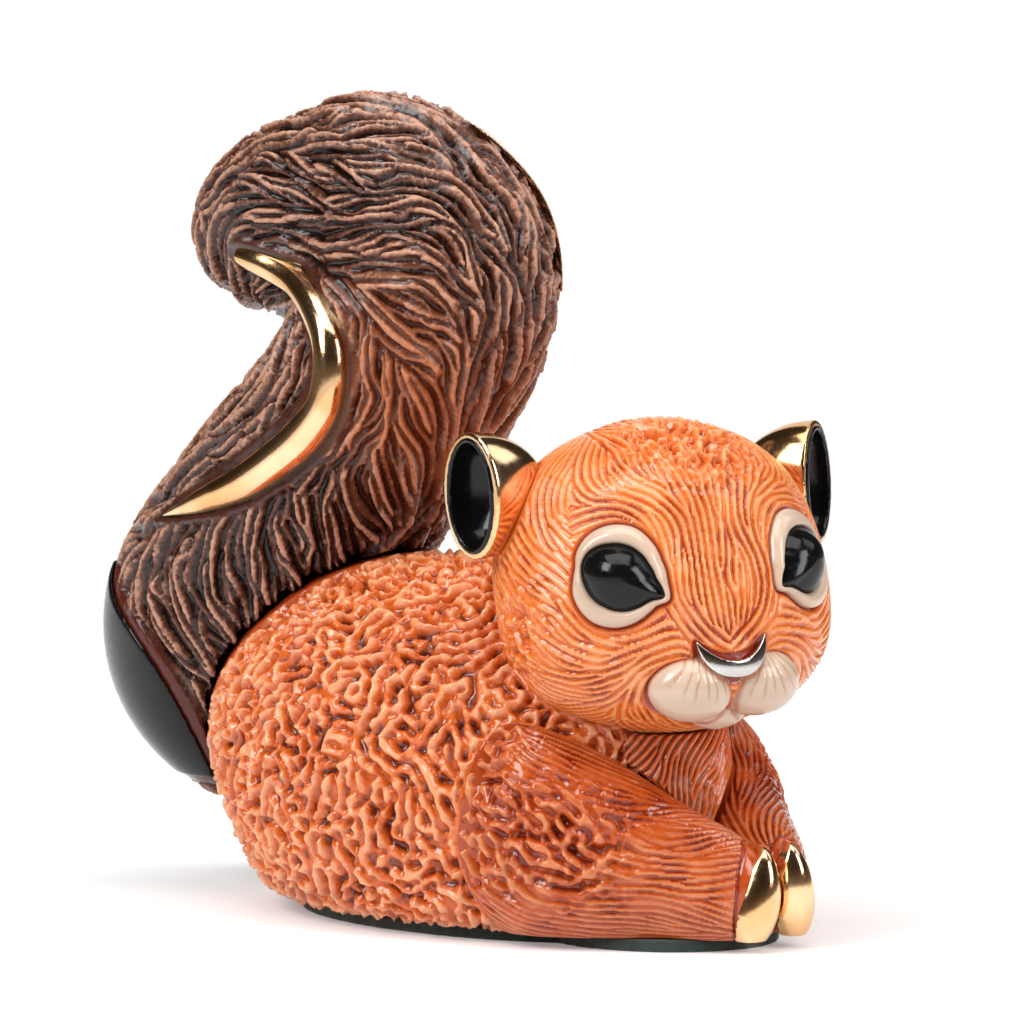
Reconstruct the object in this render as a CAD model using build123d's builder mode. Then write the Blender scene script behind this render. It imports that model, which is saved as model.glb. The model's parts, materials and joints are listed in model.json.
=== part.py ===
"""Glazed ceramic squirrel figurine, lying on its belly with its tail raised and its tip curled back.

The figurine is put together from slip-cast and hand-pressed clay pieces, which are luted to each other
before firing, and it stands on a sheet of felt. Sizes are in millimetres and angles in degrees. The
squirrel looks along -Y, with +Z up and its right side at -X. The origin is on the surface that the felt
rests on, near the middle of the base.
"""

import os

from build123d import *

# Felt under the base
FELT_THICKNESS = 1.4
FELT_INSET = 2.4

# Body casting
BODY_LENGTH = 74.0
BODY_WIDTH = 50.0
BODY_HEIGHT = 41.4
BODY_CENTRE = 13.0

# Head casting, turned towards the squirrel's right and tilted, and its snout
HEAD_WIDTH = 39.0
HEAD_DEPTH = 35.6
HEAD_HEIGHT = 36.0
HEAD_TURN = -24.0
HEAD_ROLL = -3.0
SNOUT_WIDTH = 15.0
SNOUT_DEPTH = 18.0
SNOUT_HEIGHT = 15.5

# Tail casting and the lump of its curled tip
TAIL_RISE = 85.5
TAIL_DEPTH = 42.0
TAIL_WIDTH = 34.0
CURL_LENGTH = 38.8
CURL_WIDTH = 27.0
CURL_HEIGHT = 25.2
CURL_DROOP = -12.0

# Forelegs, folded forward along the ground
FORELEG_REACH = 35.0
FORELEG_SPREAD = 18.0
FORELEG_HEIGHT = 26.0
FORELEG_WIDTH = 13.6

# Toes
TOE_WIDTH = 6.0
TOE_LENGTH = 7.6
TOE_HEIGHT = 12.4

# Chest bib
CHEST_WIDTH = 20.0
CHEST_DEPTH = 14.0
CHEST_HEIGHT = 30.0

# Ears and their linings
EAR_WIDTH = 10.6
EAR_HEIGHT = 14.6
EAR_DEPTH = 10.0
EAR_WALL = 1.2
EAR_CUP_DEPTH = 5.0
EAR_LINING = 0.6
EAR_RIGHT_TURN = -78.0
EAR_LEFT_TURN = 46.0

# Eyes and their lids
EYE_WIDTH = 9.4
EYE_HEIGHT = 8.2
EYE_DOME = 5.0
EYE_TURN = 31.0
LID_WIDTH = 11.6
LID_HEIGHT = 12.0
LID_DOME = 4.0

# Muzzle pads, chin and nose
MUZZLE_WIDTH = 9.6
MUZZLE_HEIGHT = 8.4
MUZZLE_DEPTH = 8.0
CHIN_WIDTH = 7.0
CHIN_HEIGHT = 4.6
CHIN_DEPTH = 7.0
NOSE_WIDTH = 8.6
NOSE_DROP = 4.6
NOSE_SAG = 1.6
NOSE_PROUD = 0.9

# Raised crescents on the tail, those on its sides in gutters, and the gloss patch at its base
BAND_PROUD = 1.0
GUTTER_WIDTH = 0.8
GUTTER_DEPTH = 0.8
CREST_PROUD = 0.7
PATCH_PROUD = 0.5

# Main cuts between the locks of the tail and the ridges of the body
LOCK_CUT_WIDTH = 1.1
RIDGE_CUT_WIDTH = 0.9
RIDGE_CUT_DEPTH = 0.6

# Height over the base, centre along the body, half length, half width
BODY_SHARES = (
    (0.000, -0.065, 0.415, 0.390),
    (0.120, -0.032, 0.450, 0.466),
    (0.300, 0.001, 0.463, 0.500),
    (0.500, 0.016, 0.472, 0.497),
    (0.690, 0.020, 0.432, 0.435),
    (0.850, 0.016, 0.350, 0.325),
    (0.955, 0.014, 0.220, 0.200),
    (0.995, 0.014, 0.080, 0.070),
)

# Place of the head's middle, in the body's width, length and height
HEAD_PLACE_SHARES = (-0.016, 0.399, 0.981)

# Height over the jaw, shift to the front, half width, half depth
HEAD_SHARES = (
    (0.004, 0.060, 0.070, 0.065),
    (0.030, 0.060, 0.200, 0.180),
    (0.120, 0.060, 0.385, 0.365),
    (0.270, 0.045, 0.482, 0.465),
    (0.450, 0.015, 0.500, 0.500),
    (0.620, -0.015, 0.484, 0.482),
    (0.790, -0.020, 0.414, 0.413),
    (0.920, -0.010, 0.277, 0.280),
    (0.980, -0.005, 0.142, 0.145),
    (0.997, 0.000, 0.055, 0.057),
)

# Places on the head, in its width, depth and height from its middle
SNOUT_PLACE_SHARES = (0.000, 0.292, -0.245)
EAR_RIGHT_PLACE_SHARES = (-0.556, -0.090, 0.292)
EAR_LEFT_PLACE_SHARES = (0.575, -0.090, 0.235)
EYE_PLACE_SHARES = (0.274, 0.394, 0.006)

# Places on the snout, in its width, depth and height from its middle
MUZZLE_PLACE_SHARES = (0.300, 0.310, -0.206)
CHIN_PLACE_SHARES = (0.000, 0.170, -0.410)
NOSE_PLACE_SHARES = (0.000, 0.000, 0.180)

# Place of the tail's root, in the body's length and height
TAIL_PLACE_SHARES = (0.446, 0.244)

# Height over the root, shift to the rear, half depth, half width
TAIL_SHARES = (
    (0.00, 0.060, 0.120, 0.160),
    (0.05, 0.095, 0.250, 0.290),
    (0.14, 0.120, 0.358, 0.420),
    (0.25, 0.075, 0.440, 0.490),
    (0.36, -0.043, 0.491, 0.500),
    (0.46, -0.215, 0.492, 0.485),
    (0.56, -0.399, 0.468, 0.465),
    (0.66, -0.564, 0.420, 0.430),
    (0.75, -0.621, 0.390, 0.410),
    (0.84, -0.580, 0.383, 0.395),
    (0.92, -0.490, 0.325, 0.330),
    (0.97, -0.435, 0.220, 0.225),
    (0.990, -0.422, 0.125, 0.125),
    (0.998, -0.420, 0.050, 0.050),
)
CURL_PLACE_SHARES = (-0.240, 0.826)

# Shift to the front, spread from the middle, middle height, half width, half height
FORELEG_SHARES = (
    (0.00, 0.95, 0.52, 0.150, 0.200),
    (0.10, 0.96, 0.54, 0.330, 0.400),
    (0.26, 0.90, 0.52, 0.460, 0.480),
    (0.44, 0.72, 0.46, 0.500, 0.440),
    (0.62, 0.46, 0.38, 0.450, 0.350),
    (0.78, 0.30, 0.31, 0.370, 0.280),
    (0.90, 0.19, 0.27, 0.260, 0.225),
    (0.955, 0.165, 0.265, 0.160, 0.150),
    (0.975, 0.160, 0.262, 0.070, 0.065),
)
TOE_PLACE_SHARES = (0.925, 0.15, 0.24)

# Place of the chest bib, in the body's length and height
CHEST_PLACE_SHARES = (0.392, 0.425)

# Crescent on the side of the tail, from the round end under the curl to the point at the rear:
# shift to the rear and height, as shares of the tail's depth and rise
BAND_FRONT_SHARES = ((-0.10, 0.782), (-0.41, 0.742), (-0.64, 0.642), (-0.535, 0.512), (-0.20, 0.425))
BAND_REAR_SHARES = ((-0.14, 0.730), (-0.32, 0.694), (-0.45, 0.628), (-0.365, 0.546), (-0.13, 0.478))
BAND_POINT_SHARES = (0.26, 0.400)
BAND_ROUND_SHARES = (-0.065, 0.752)

# Thin crescent on the front of the tail: place across and height, from its low end to its high one,
# and the bend of its inner edge
CREST_SHARES = ((0.24, 0.72), (0.325, 0.83), (0.10, 0.955))
CREST_INNER_SHARES = (0.24, 0.83)

# Gloss patch on the rear of the tail, from its upper point to its lower end
PATCH_SHARES = ((0.40, 0.330), (0.26, 0.275), (0.10, 0.200), (0.03, 0.110), (0.03, 0.030))

# Cuts between the tail's locks, in its depth and rise: over the curl and down the front edge,
# beside the crescent, up from the body, and behind the crescent
LOCK_CUT_SHARES = (
    ((-0.455, 0.926), (-0.636, 0.938), (-0.772, 0.918), (-0.895, 0.870), (-0.955, 0.801), (-0.960, 0.732)),
    ((-0.193, 0.890), (-0.357, 0.867), (-0.548, 0.844), (-0.722, 0.843), (-0.900, 0.795), (-0.920, 0.725)),
    ((-0.372, 0.825), (-0.555, 0.800), (-0.736, 0.790), (-0.835, 0.760), (-0.880, 0.700), (-0.880, 0.640)),
    ((-0.650, 0.731), (-0.772, 0.716), (-0.830, 0.680), (-0.840, 0.630), (-0.810, 0.586)),
    ((-0.720, 0.660), (-0.710, 0.611), (-0.675, 0.564), (-0.630, 0.522)),
    ((0.020, 0.790), (0.000, 0.830), (-0.060, 0.865), (-0.130, 0.885)),
    ((-0.550, 0.385), (-0.564, 0.413), (-0.585, 0.456), (-0.630, 0.500)),
    ((-0.440, 0.360), (-0.436, 0.386), (-0.440, 0.415), (-0.465, 0.445)),
    ((-0.320, 0.325), (-0.312, 0.345), (-0.318, 0.370), (-0.340, 0.392)),
    ((-0.165, 0.275), (-0.155, 0.299), (-0.155, 0.333), (-0.185, 0.370)),
    ((-0.030, 0.175), (0.040, 0.210), (0.105, 0.253), (0.125, 0.290)),
    ((-0.240, 0.610), (-0.160, 0.560), (-0.050, 0.520), (0.050, 0.480)),
)

# Cuts between the body's ridges, in its length and height: the rearmost and the foremost one,
# the number of them, and the lift of every other one
RIDGE_REAR_SHARES = ((0.245, 0.300), (0.239, 0.400), (0.223, 0.505), (0.205, 0.620))
RIDGE_FRONT_SHARES = ((0.010, 0.240), (-0.005, 0.340), (-0.030, 0.440), (-0.080, 0.540))
RIDGE_COUNT = 7
RIDGE_LIFT_SHARE = 0.09

# Felt under the forelegs: middle and half length in their reach, half width in their spread
FELT_PAW_SHARES = (0.45, 0.42, 0.72)

# The squirrel's right and left
SIDES = ((-1, "right"), (1, "left"))

HEAD_SIZES = (HEAD_WIDTH, HEAD_DEPTH, HEAD_HEIGHT)
SNOUT_SIZES = (SNOUT_WIDTH, SNOUT_DEPTH, SNOUT_HEIGHT)
TAIL_BACK = BODY_CENTRE + TAIL_PLACE_SHARES[0] * BODY_LENGTH
TAIL_BOTTOM = FELT_THICKNESS + TAIL_PLACE_SHARES[1] * BODY_HEIGHT
BASE_PLANE = Plane.XY.offset(FELT_THICKNESS)


def ellipsoid(plane, width, height, depth):
    """Solid with three unequal diameters along a plane's X, Y and Z axes."""
    with BuildPart() as form:
        Sphere(1)
        scale(by=(width / 2, height / 2, depth / 2))
    return form.part.moved(plane.location)


def lens(width, above, below):
    """Outline of two arcs between a left and a right corner."""
    left, right = (-width / 2, 0), (width / 2, 0)
    with BuildSketch() as outline:
        with BuildLine():
            ThreePointArc(left, (0, above), right)
            ThreePointArc(left, (0, -below), right)
        make_face()
    return outline.sketch


def stacked(sections):
    """Solid through ellipses, each given as a plane and its two half sizes."""
    faces = []
    for plane, half_width, half_height in sections:
        with BuildSketch(plane) as section:
            Ellipse(half_width, half_height)
        faces.append(section.sketch)
    with BuildPart() as form:
        loft(faces)
    return form.part


def body_form(growth=0):
    """Torso and haunches, flat where the felt is glued on, with the flanks moved out by a growth."""
    sections = []
    for height, centre, half_length, half_width in BODY_SHARES:
        (place,) = body_places([(centre, height)])
        half_sizes = (half_width * BODY_WIDTH + growth, half_length * BODY_LENGTH + growth)
        sections.append((Plane((0, *place)), *half_sizes))
    return stacked(sections)


def body_places(points):
    """Places in the side view of the body, as Y and Z, from shares of its length and height."""
    return [(BODY_CENTRE + back * BODY_LENGTH, FELT_THICKNESS + up * BODY_HEIGHT) for back, up in points]


def ribbons(paths, width, reach):
    """Narrow bars with pointed ends through both sides, each along a path in the side view."""
    with BuildPart() as bars:
        for path in paths:
            middles = [Vector(*place) for place in path]
            ways = [(after - before).normalized() for before, after in zip(middles, middles[2:])]
            across = [Vector(-way.Y, way.X) * width / 2 for way in ways]
            with BuildSketch(Plane.YZ):
                with BuildLine():
                    Spline(middles[0], *[a + b for a, b in zip(middles[1:], across)], middles[-1])
                    Spline(middles[0], *[a - b for a, b in zip(middles[1:], across)], middles[-1])
                make_face()
            extrude(amount=reach, both=True)
    return bars.part


def place_in(sizes, shares, side=1):
    """Place in the head's own frame, from shares of a width, a depth to the front and a height."""
    across, forward, level = shares
    return Vector(side * across * sizes[0], -forward * sizes[1], level * sizes[2])


def face_plane(place, turn=0):
    """Plane at a place in the head's own frame, with its Z axis out of the face and its Y axis up."""
    return Plane(HEAD * Location(place, (90, 0, turn), Extrinsic.XYZ))


def head_form():
    """Head without its snout."""
    sections = []
    for height, shift, half_width, half_depth in HEAD_SHARES:
        middle = place_in(HEAD_SIZES, (0, shift, height - 1 / 2))
        plane = Plane(HEAD * Location(middle))
        sections.append((plane, half_width * HEAD_WIDTH, half_depth * HEAD_DEPTH))
    return stacked(sections)


def snout_form(growth=0):
    """Snout, with its skin moved out by a growth."""
    sizes = [size + 2 * growth for size in (SNOUT_WIDTH, SNOUT_HEIGHT, SNOUT_DEPTH)]
    return ellipsoid(face_plane(SNOUT_CENTRE), *sizes)


def tail_form(growth=0):
    """Raised tail with its curled tip, with its skin moved out by a growth."""
    sections = []
    for height, shift, half_depth, half_width in TAIL_SHARES:
        (place,) = tail_places([(shift, height)])
        half_sizes = (half_width * TAIL_WIDTH + growth, half_depth * TAIL_DEPTH + growth)
        sections.append((Plane((0, *place)), *half_sizes))
    (curl_place,) = tail_places([CURL_PLACE_SHARES])
    curl_plane = Plane(Location((0, *curl_place), (CURL_DROOP, 0, 0)))
    curl_sizes = [size + 2 * growth for size in (CURL_WIDTH, CURL_LENGTH, CURL_HEIGHT)]
    with BuildPart() as form:
        add(stacked(sections))
        add(ellipsoid(curl_plane, *curl_sizes))
    return form.part


def tail_places(points):
    """Places in the side view of the tail, as Y and Z, from shares of its depth and rise."""
    return [(TAIL_BACK + back * TAIL_DEPTH, TAIL_BOTTOM + up * TAIL_RISE) for back, up in points]


def foreleg_place(side, forward, spread, level):
    """Place on a foreleg's middle line."""
    return Vector(side * spread * FORELEG_SPREAD, -forward * FORELEG_REACH, level * FORELEG_HEIGHT)


def foreleg_form(side):
    """Foreleg along the ground; side is -1 for the right one and 1 for the left one."""
    middles = [foreleg_place(side, *shares[:3]) for shares in FORELEG_SHARES]
    before = [middles[0], *middles[:-1]]
    after = [*middles[1:], middles[-1]]
    sections = []
    for index, shares in enumerate(FORELEG_SHARES):
        along = Vector(after[index].X - before[index].X, after[index].Y - before[index].Y, 0)
        plane = Plane(middles[index], x_dir=along.cross(Vector(0, 0, 1)), z_dir=along)
        sections.append((plane, shares[3] * FORELEG_WIDTH, shares[4] * FORELEG_HEIGHT))
    with BuildPart() as form:
        add(stacked(sections))
        split(bisect_by=BASE_PLANE, keep=Keep.TOP)
    return form.part


HEAD = Location(
    (
        HEAD_PLACE_SHARES[0] * BODY_WIDTH,
        BODY_CENTRE - HEAD_PLACE_SHARES[1] * BODY_LENGTH,
        FELT_THICKNESS + HEAD_PLACE_SHARES[2] * BODY_HEIGHT,
    ),
    (0, HEAD_ROLL, HEAD_TURN),
    Extrinsic.XYZ,
)
SNOUT_CENTRE = place_in(HEAD_SIZES, SNOUT_PLACE_SHARES)
BODY = body_form()
TAIL = tail_form()
FORELEGS = {side: foreleg_form(side) for side, _ in SIDES}

with BuildPart() as head_with_snout:
    add(head_form())
    add(snout_form())
HEAD_SOLID = head_with_snout.part

os.makedirs("parts", exist_ok=True)

# Body, with the main cuts between its ridges
ridge_paths = []
for index in range(RIDGE_COUNT):
    share = index / (RIDGE_COUNT - 1)
    lift = RIDGE_LIFT_SHARE * (index % 2)
    ends = zip(RIDGE_REAR_SHARES, RIDGE_FRONT_SHARES)
    path = [Vector(*rear) * (1 - share) + Vector(*front) * share for rear, front in ends]
    ridge_paths.append(body_places([(place.X, place.Y + lift) for place in path]))
with BuildPart() as ridge_cuts:
    add(ribbons(ridge_paths, RIDGE_CUT_WIDTH, BODY_WIDTH))
    add(body_form(-RIDGE_CUT_DEPTH), mode=Mode.SUBTRACT)
with BuildPart() as body_casting:
    add(BODY)
    add(ridge_cuts.part, mode=Mode.SUBTRACT)
body_casting.part.label = "body_casting"
export_step(body_casting.part, "parts/body_casting.step")

# Head, luted to the front of the body
with BuildPart() as head_casting:
    add(HEAD_SOLID)
    add(BODY, mode=Mode.SUBTRACT)
head_casting.part.label = "head_casting"
export_step(head_casting.part, "parts/head_casting.step")


def crescent_bar(side, margin):
    """Bar of the crescent in the tail's side view, narrowed by a margin, from the middle to one side."""
    front = [Vector(*place) for place in tail_places(BAND_FRONT_SHARES)]
    rear = [Vector(*place) for place in tail_places(BAND_REAR_SHARES)]
    point, bend = [Vector(*place) for place in tail_places([BAND_POINT_SHARES, BAND_ROUND_SHARES])]
    across = [(a - b).normalized() * margin for a, b in zip(front, rear)]
    front = [place - step for place, step in zip(front, across)]
    rear = [place + step for place, step in zip(rear, across)]
    point -= (point - (front[-1] + rear[-1]) / 2).normalized() * margin * 2
    bend -= (bend - (front[0] + rear[0]) / 2).normalized() * margin
    with BuildPart() as bar:
        with BuildSketch(Plane.YZ):
            with BuildLine():
                Spline(*front, point)
                Spline(*rear, point)
                ThreePointArc(rear[0], bend, front[0])
            make_face()
        extrude(amount=side * TAIL_WIDTH)
    return bar.part


GUTTER_FLOOR = tail_form(-GUTTER_DEPTH)


def gutter(side):
    """Hollow in the tail's skin that a crescent lies in."""
    with BuildPart() as hollow:
        add(crescent_bar(side, 0))
        add(GUTTER_FLOOR, mode=Mode.SUBTRACT)
    return hollow.part


# Tail, luted to the rear of the body, with the main cuts between its locks as deep as the gutters
with BuildPart() as lock_cuts:
    add(ribbons([tail_places(path) for path in LOCK_CUT_SHARES], LOCK_CUT_WIDTH, TAIL_WIDTH))
    add(GUTTER_FLOOR, mode=Mode.SUBTRACT)
with BuildPart() as tail_casting:
    add(TAIL)
    for side, _ in SIDES:
        add(gutter(side), mode=Mode.SUBTRACT)
    add(lock_cuts.part, mode=Mode.SUBTRACT)
    add(BODY, mode=Mode.SUBTRACT)
tail_casting.part.label = "tail_casting"
export_step(tail_casting.part, "parts/tail_casting.step")

# Crescents, each seated on the floor of its gutter
for side, word in SIDES:
    with BuildPart() as tail_band:
        add(crescent_bar(side, GUTTER_WIDTH))
        add(tail_form(BAND_PROUD), mode=Mode.INTERSECT)
        add(GUTTER_FLOOR, mode=Mode.SUBTRACT)
    tail_band.part.label = f"tail_band_{word}"
    export_step(tail_band.part, f"parts/tail_band_{word}.step")

# Thin crescent on the tail's front
crest_back = tail_places([(TAIL_SHARES[8][1], 0)])[0][0]
with BuildPart() as tail_crest_band:
    with BuildSketch(Plane.XZ.offset(-crest_back)):
        places = [(across * TAIL_WIDTH, TAIL_BOTTOM + up * TAIL_RISE) for across, up in CREST_SHARES]
        inner = (CREST_INNER_SHARES[0] * TAIL_WIDTH, TAIL_BOTTOM + CREST_INNER_SHARES[1] * TAIL_RISE)
        with BuildLine():
            ThreePointArc(*places)
            ThreePointArc(places[0], inner, places[2])
        make_face()
    extrude(amount=TAIL_DEPTH)
    add(tail_form(CREST_PROUD), mode=Mode.INTERSECT)
    add(TAIL, mode=Mode.SUBTRACT)
tail_crest_band.part.label = "tail_crest_band"
export_step(tail_crest_band.part, "parts/tail_crest_band.step")

# Gloss patch across the rear of the tail's base
with BuildPart() as tail_base_patch:
    with BuildSketch(Plane.YZ):
        edge = tail_places(PATCH_SHARES)
        behind = TAIL_BACK + TAIL_DEPTH
        with BuildLine():
            Spline(*edge)
            Polyline(edge[0], (behind, edge[0][1]), (behind, edge[-1][1]), edge[-1])
        make_face()
    extrude(amount=TAIL_WIDTH, both=True)
    add(tail_form(PATCH_PROUD), mode=Mode.INTERSECT)
    add(TAIL, mode=Mode.SUBTRACT)
    add(BODY, mode=Mode.SUBTRACT)
tail_base_patch.part.label = "tail_base_patch"
export_step(tail_base_patch.part, "parts/tail_base_patch.step")

# Forelegs, cut to seat on the body, under the head and against each other
for side, word in SIDES:
    with BuildPart() as foreleg:
        add(FORELEGS[side])
        add(BODY, mode=Mode.SUBTRACT)
        add(HEAD_SOLID, mode=Mode.SUBTRACT)
        if side > 0:
            add(FORELEGS[-side], mode=Mode.SUBTRACT)
    foreleg.part.label = f"foreleg_{word}"
    export_step(foreleg.part, f"parts/foreleg_{word}.step")

# Toes over the tips of the forelegs
TOES = {}
for side, word in SIDES:
    toe_plane = Plane(foreleg_place(side, *TOE_PLACE_SHARES), x_dir=(0, 0, 1), z_dir=(0, -1, 0))
    with BuildPart() as toe:
        with BuildSketch(toe_plane):
            add(lens(TOE_HEIGHT, TOE_WIDTH / 2, TOE_WIDTH / 2))
        extrude(amount=TOE_LENGTH)
        add(ellipsoid(toe_plane, TOE_HEIGHT, TOE_WIDTH, TOE_LENGTH), mode=Mode.INTERSECT)
        split(bisect_by=BASE_PLANE, keep=Keep.TOP)
        for leg in FORELEGS.values():
            add(leg, mode=Mode.SUBTRACT)
        for other in TOES.values():
            add(other, mode=Mode.SUBTRACT)
    TOES[side] = toe.part
    toe.part.label = f"toe_{word}"
    export_step(toe.part, f"parts/toe_{word}.step")

# Chest between the head and the forelegs
with BuildPart() as chest_bib:
    chest_back = BODY_CENTRE - CHEST_PLACE_SHARES[0] * BODY_LENGTH
    chest_level = FELT_THICKNESS + CHEST_PLACE_SHARES[1] * BODY_HEIGHT
    add(ellipsoid(Plane((0, chest_back, chest_level)), CHEST_WIDTH, CHEST_DEPTH, CHEST_HEIGHT))
    split(bisect_by=BASE_PLANE, keep=Keep.TOP)
    for solid in (BODY, HEAD_SOLID, *FORELEGS.values()):
        add(solid, mode=Mode.SUBTRACT)
chest_bib.part.label = "chest_bib"
export_step(chest_bib.part, "parts/chest_bib.step")

# Ears, each a cup with a dark lining
for word, shares, turn in (
    ("right", EAR_RIGHT_PLACE_SHARES, EAR_RIGHT_TURN),
    ("left", EAR_LEFT_PLACE_SHARES, EAR_LEFT_TURN),
):
    rim_plane = face_plane(place_in(HEAD_SIZES, shares), turn)
    lined_width = EAR_WIDTH - 2 * EAR_WALL
    lined_height = EAR_HEIGHT - 2 * EAR_WALL
    lined = ellipsoid(rim_plane, lined_width, lined_height, 2 * EAR_CUP_DEPTH)
    hollow = ellipsoid(
        rim_plane,
        lined_width - 2 * EAR_LINING,
        lined_height - 2 * EAR_LINING,
        2 * (EAR_CUP_DEPTH - EAR_LINING),
    )
    with BuildPart() as ear:
        add(ellipsoid(rim_plane, EAR_WIDTH, EAR_HEIGHT, 2 * EAR_DEPTH))
        split(bisect_by=rim_plane, keep=Keep.BOTTOM)
        add(lined, mode=Mode.SUBTRACT)
        add(HEAD_SOLID, mode=Mode.SUBTRACT)
    ear.part.label = f"ear_{word}"
    export_step(ear.part, f"parts/ear_{word}.step")
    with BuildPart() as ear_lining:
        add(lined)
        add(hollow, mode=Mode.SUBTRACT)
        split(bisect_by=rim_plane, keep=Keep.BOTTOM)
        add(HEAD_SOLID, mode=Mode.SUBTRACT)
    ear_lining.part.label = f"ear_lining_{word}"
    export_step(ear_lining.part, f"parts/ear_lining_{word}.step")

# Eyes, almond domes in pale lids
for side, word in SIDES:
    eye_plane = face_plane(place_in(HEAD_SIZES, EYE_PLACE_SHARES, side), side * EYE_TURN)
    with BuildPart() as almond:
        with BuildSketch(eye_plane):
            add(lens(EYE_WIDTH, EYE_HEIGHT / 2, EYE_HEIGHT / 2))
        extrude(amount=EYE_DOME, both=True)
    with BuildPart() as eye:
        add(almond.part)
        add(ellipsoid(eye_plane, EYE_WIDTH, EYE_WIDTH, EYE_DOME), mode=Mode.INTERSECT)
        add(HEAD_SOLID, mode=Mode.SUBTRACT)
    eye.part.label = f"eye_{word}"
    export_step(eye.part, f"parts/eye_{word}.step")
    with BuildPart() as eye_rim:
        add(ellipsoid(eye_plane, LID_WIDTH, LID_HEIGHT, LID_DOME))
        add(almond.part, mode=Mode.SUBTRACT)
        add(HEAD_SOLID, mode=Mode.SUBTRACT)
    eye_rim.part.label = f"eye_rim_{word}"
    export_step(eye_rim.part, f"parts/eye_rim_{word}.step")

# Muzzle pads, which meet in the middle
MUZZLES = {}
for side, word in SIDES:
    pad_plane = face_plane(SNOUT_CENTRE + place_in(SNOUT_SIZES, MUZZLE_PLACE_SHARES, side))
    with BuildPart() as muzzle_pad:
        add(ellipsoid(pad_plane, MUZZLE_WIDTH, MUZZLE_HEIGHT, MUZZLE_DEPTH))
        for other in MUZZLES.values():
            add(other, mode=Mode.SUBTRACT)
    MUZZLES[side] = muzzle_pad.part
    with BuildPart() as seated_pad:
        add(muzzle_pad.part)
        add(HEAD_SOLID, mode=Mode.SUBTRACT)
    seated_pad.part.label = f"muzzle_pad_{word}"
    export_step(seated_pad.part, f"parts/muzzle_pad_{word}.step")

# Chin under the pads
with BuildPart() as chin:
    chin_plane = face_plane(SNOUT_CENTRE + place_in(SNOUT_SIZES, CHIN_PLACE_SHARES))
    add(ellipsoid(chin_plane, CHIN_WIDTH, CHIN_HEIGHT, CHIN_DEPTH))
    for solid in (HEAD_SOLID, *MUZZLES.values()):
        add(solid, mode=Mode.SUBTRACT)
chin.part.label = "chin"
export_step(chin.part, "parts/chin.step")

# Crescent of the nose, over the pads
with BuildPart() as nose:
    with BuildSketch(face_plane(SNOUT_CENTRE + place_in(SNOUT_SIZES, NOSE_PLACE_SHARES))):
        add(lens(NOSE_WIDTH, -NOSE_SAG, NOSE_DROP))
    extrude(amount=SNOUT_DEPTH)
    add(snout_form(NOSE_PROUD), mode=Mode.INTERSECT)
    for solid in (HEAD_SOLID, *MUZZLES.values()):
        add(solid, mode=Mode.SUBTRACT)
nose.part.label = "nose"
export_step(nose.part, "parts/nose.step")

# Felt, trimmed a little inside the base and running on under the forelegs
with BuildPart() as felt_pad:
    with BuildSketch():
        with Locations((0, BODY_CENTRE + BODY_SHARES[0][1] * BODY_LENGTH)):
            half_width = BODY_SHARES[0][3] * BODY_WIDTH - FELT_INSET
            half_length = BODY_SHARES[0][2] * BODY_LENGTH - FELT_INSET
            Ellipse(half_width, half_length)
        with Locations((0, -FELT_PAW_SHARES[0] * FORELEG_REACH)):
            Ellipse(FELT_PAW_SHARES[2] * FORELEG_SPREAD, FELT_PAW_SHARES[1] * FORELEG_REACH)
    extrude(amount=FELT_THICKNESS)
felt_pad.part.label = "felt_pad"
export_step(felt_pad.part, "parts/felt_pad.step")
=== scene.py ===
# %% [markdown]
# # A carved and glazed squirrel
#
# The object is a small ceramic squirrel that lies on its belly. Each part of its coat is cut
# by hand into the soft clay: worm-like ridges on the body, fine lines round the eyes, long
# wavy strands on the tail. Then it is fired, glazed in orange, brown, cream and black,
# lustred in gold and platinum, fired again, and set on a sheet of felt.
#
# The CAD model gives every piece its place and main form. This lesson copies each form as an
# even skin of small faces, lets a stroke pattern grow over that skin, and cuts it in.

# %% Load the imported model
import json
import math

import bmesh
import bpy
import mathutils
import numpy as np
from mathutils import Matrix, Vector
from mathutils.bvhtree import BVHTree

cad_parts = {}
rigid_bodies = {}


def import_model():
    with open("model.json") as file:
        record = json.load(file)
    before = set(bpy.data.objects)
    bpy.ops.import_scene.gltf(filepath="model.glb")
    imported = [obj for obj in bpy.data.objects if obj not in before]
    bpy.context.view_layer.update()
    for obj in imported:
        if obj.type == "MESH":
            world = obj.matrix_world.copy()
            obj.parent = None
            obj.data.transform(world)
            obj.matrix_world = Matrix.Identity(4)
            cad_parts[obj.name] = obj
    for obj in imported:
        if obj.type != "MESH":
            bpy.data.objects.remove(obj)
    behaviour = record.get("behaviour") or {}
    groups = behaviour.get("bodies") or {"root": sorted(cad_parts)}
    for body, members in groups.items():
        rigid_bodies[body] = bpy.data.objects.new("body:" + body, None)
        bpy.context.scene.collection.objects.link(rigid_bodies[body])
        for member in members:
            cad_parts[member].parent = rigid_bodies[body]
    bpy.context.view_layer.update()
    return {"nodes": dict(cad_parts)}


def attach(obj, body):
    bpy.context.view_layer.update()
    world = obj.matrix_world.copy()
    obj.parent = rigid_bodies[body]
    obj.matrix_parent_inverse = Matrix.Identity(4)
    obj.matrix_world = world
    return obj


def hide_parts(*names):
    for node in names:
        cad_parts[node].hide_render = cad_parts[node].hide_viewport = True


for leftover in list(bpy.data.objects):
    bpy.data.objects.remove(leftover)
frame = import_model()
MM = 0.001

# %% [markdown]
# ## The camera
#
# The figurine was photographed from a little above its own height, from its front right, with
# a long lens, so that near and far parts keep nearly the same scale. The camera stands 80 cm
# away from the point inside the body that it looks at.

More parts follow.
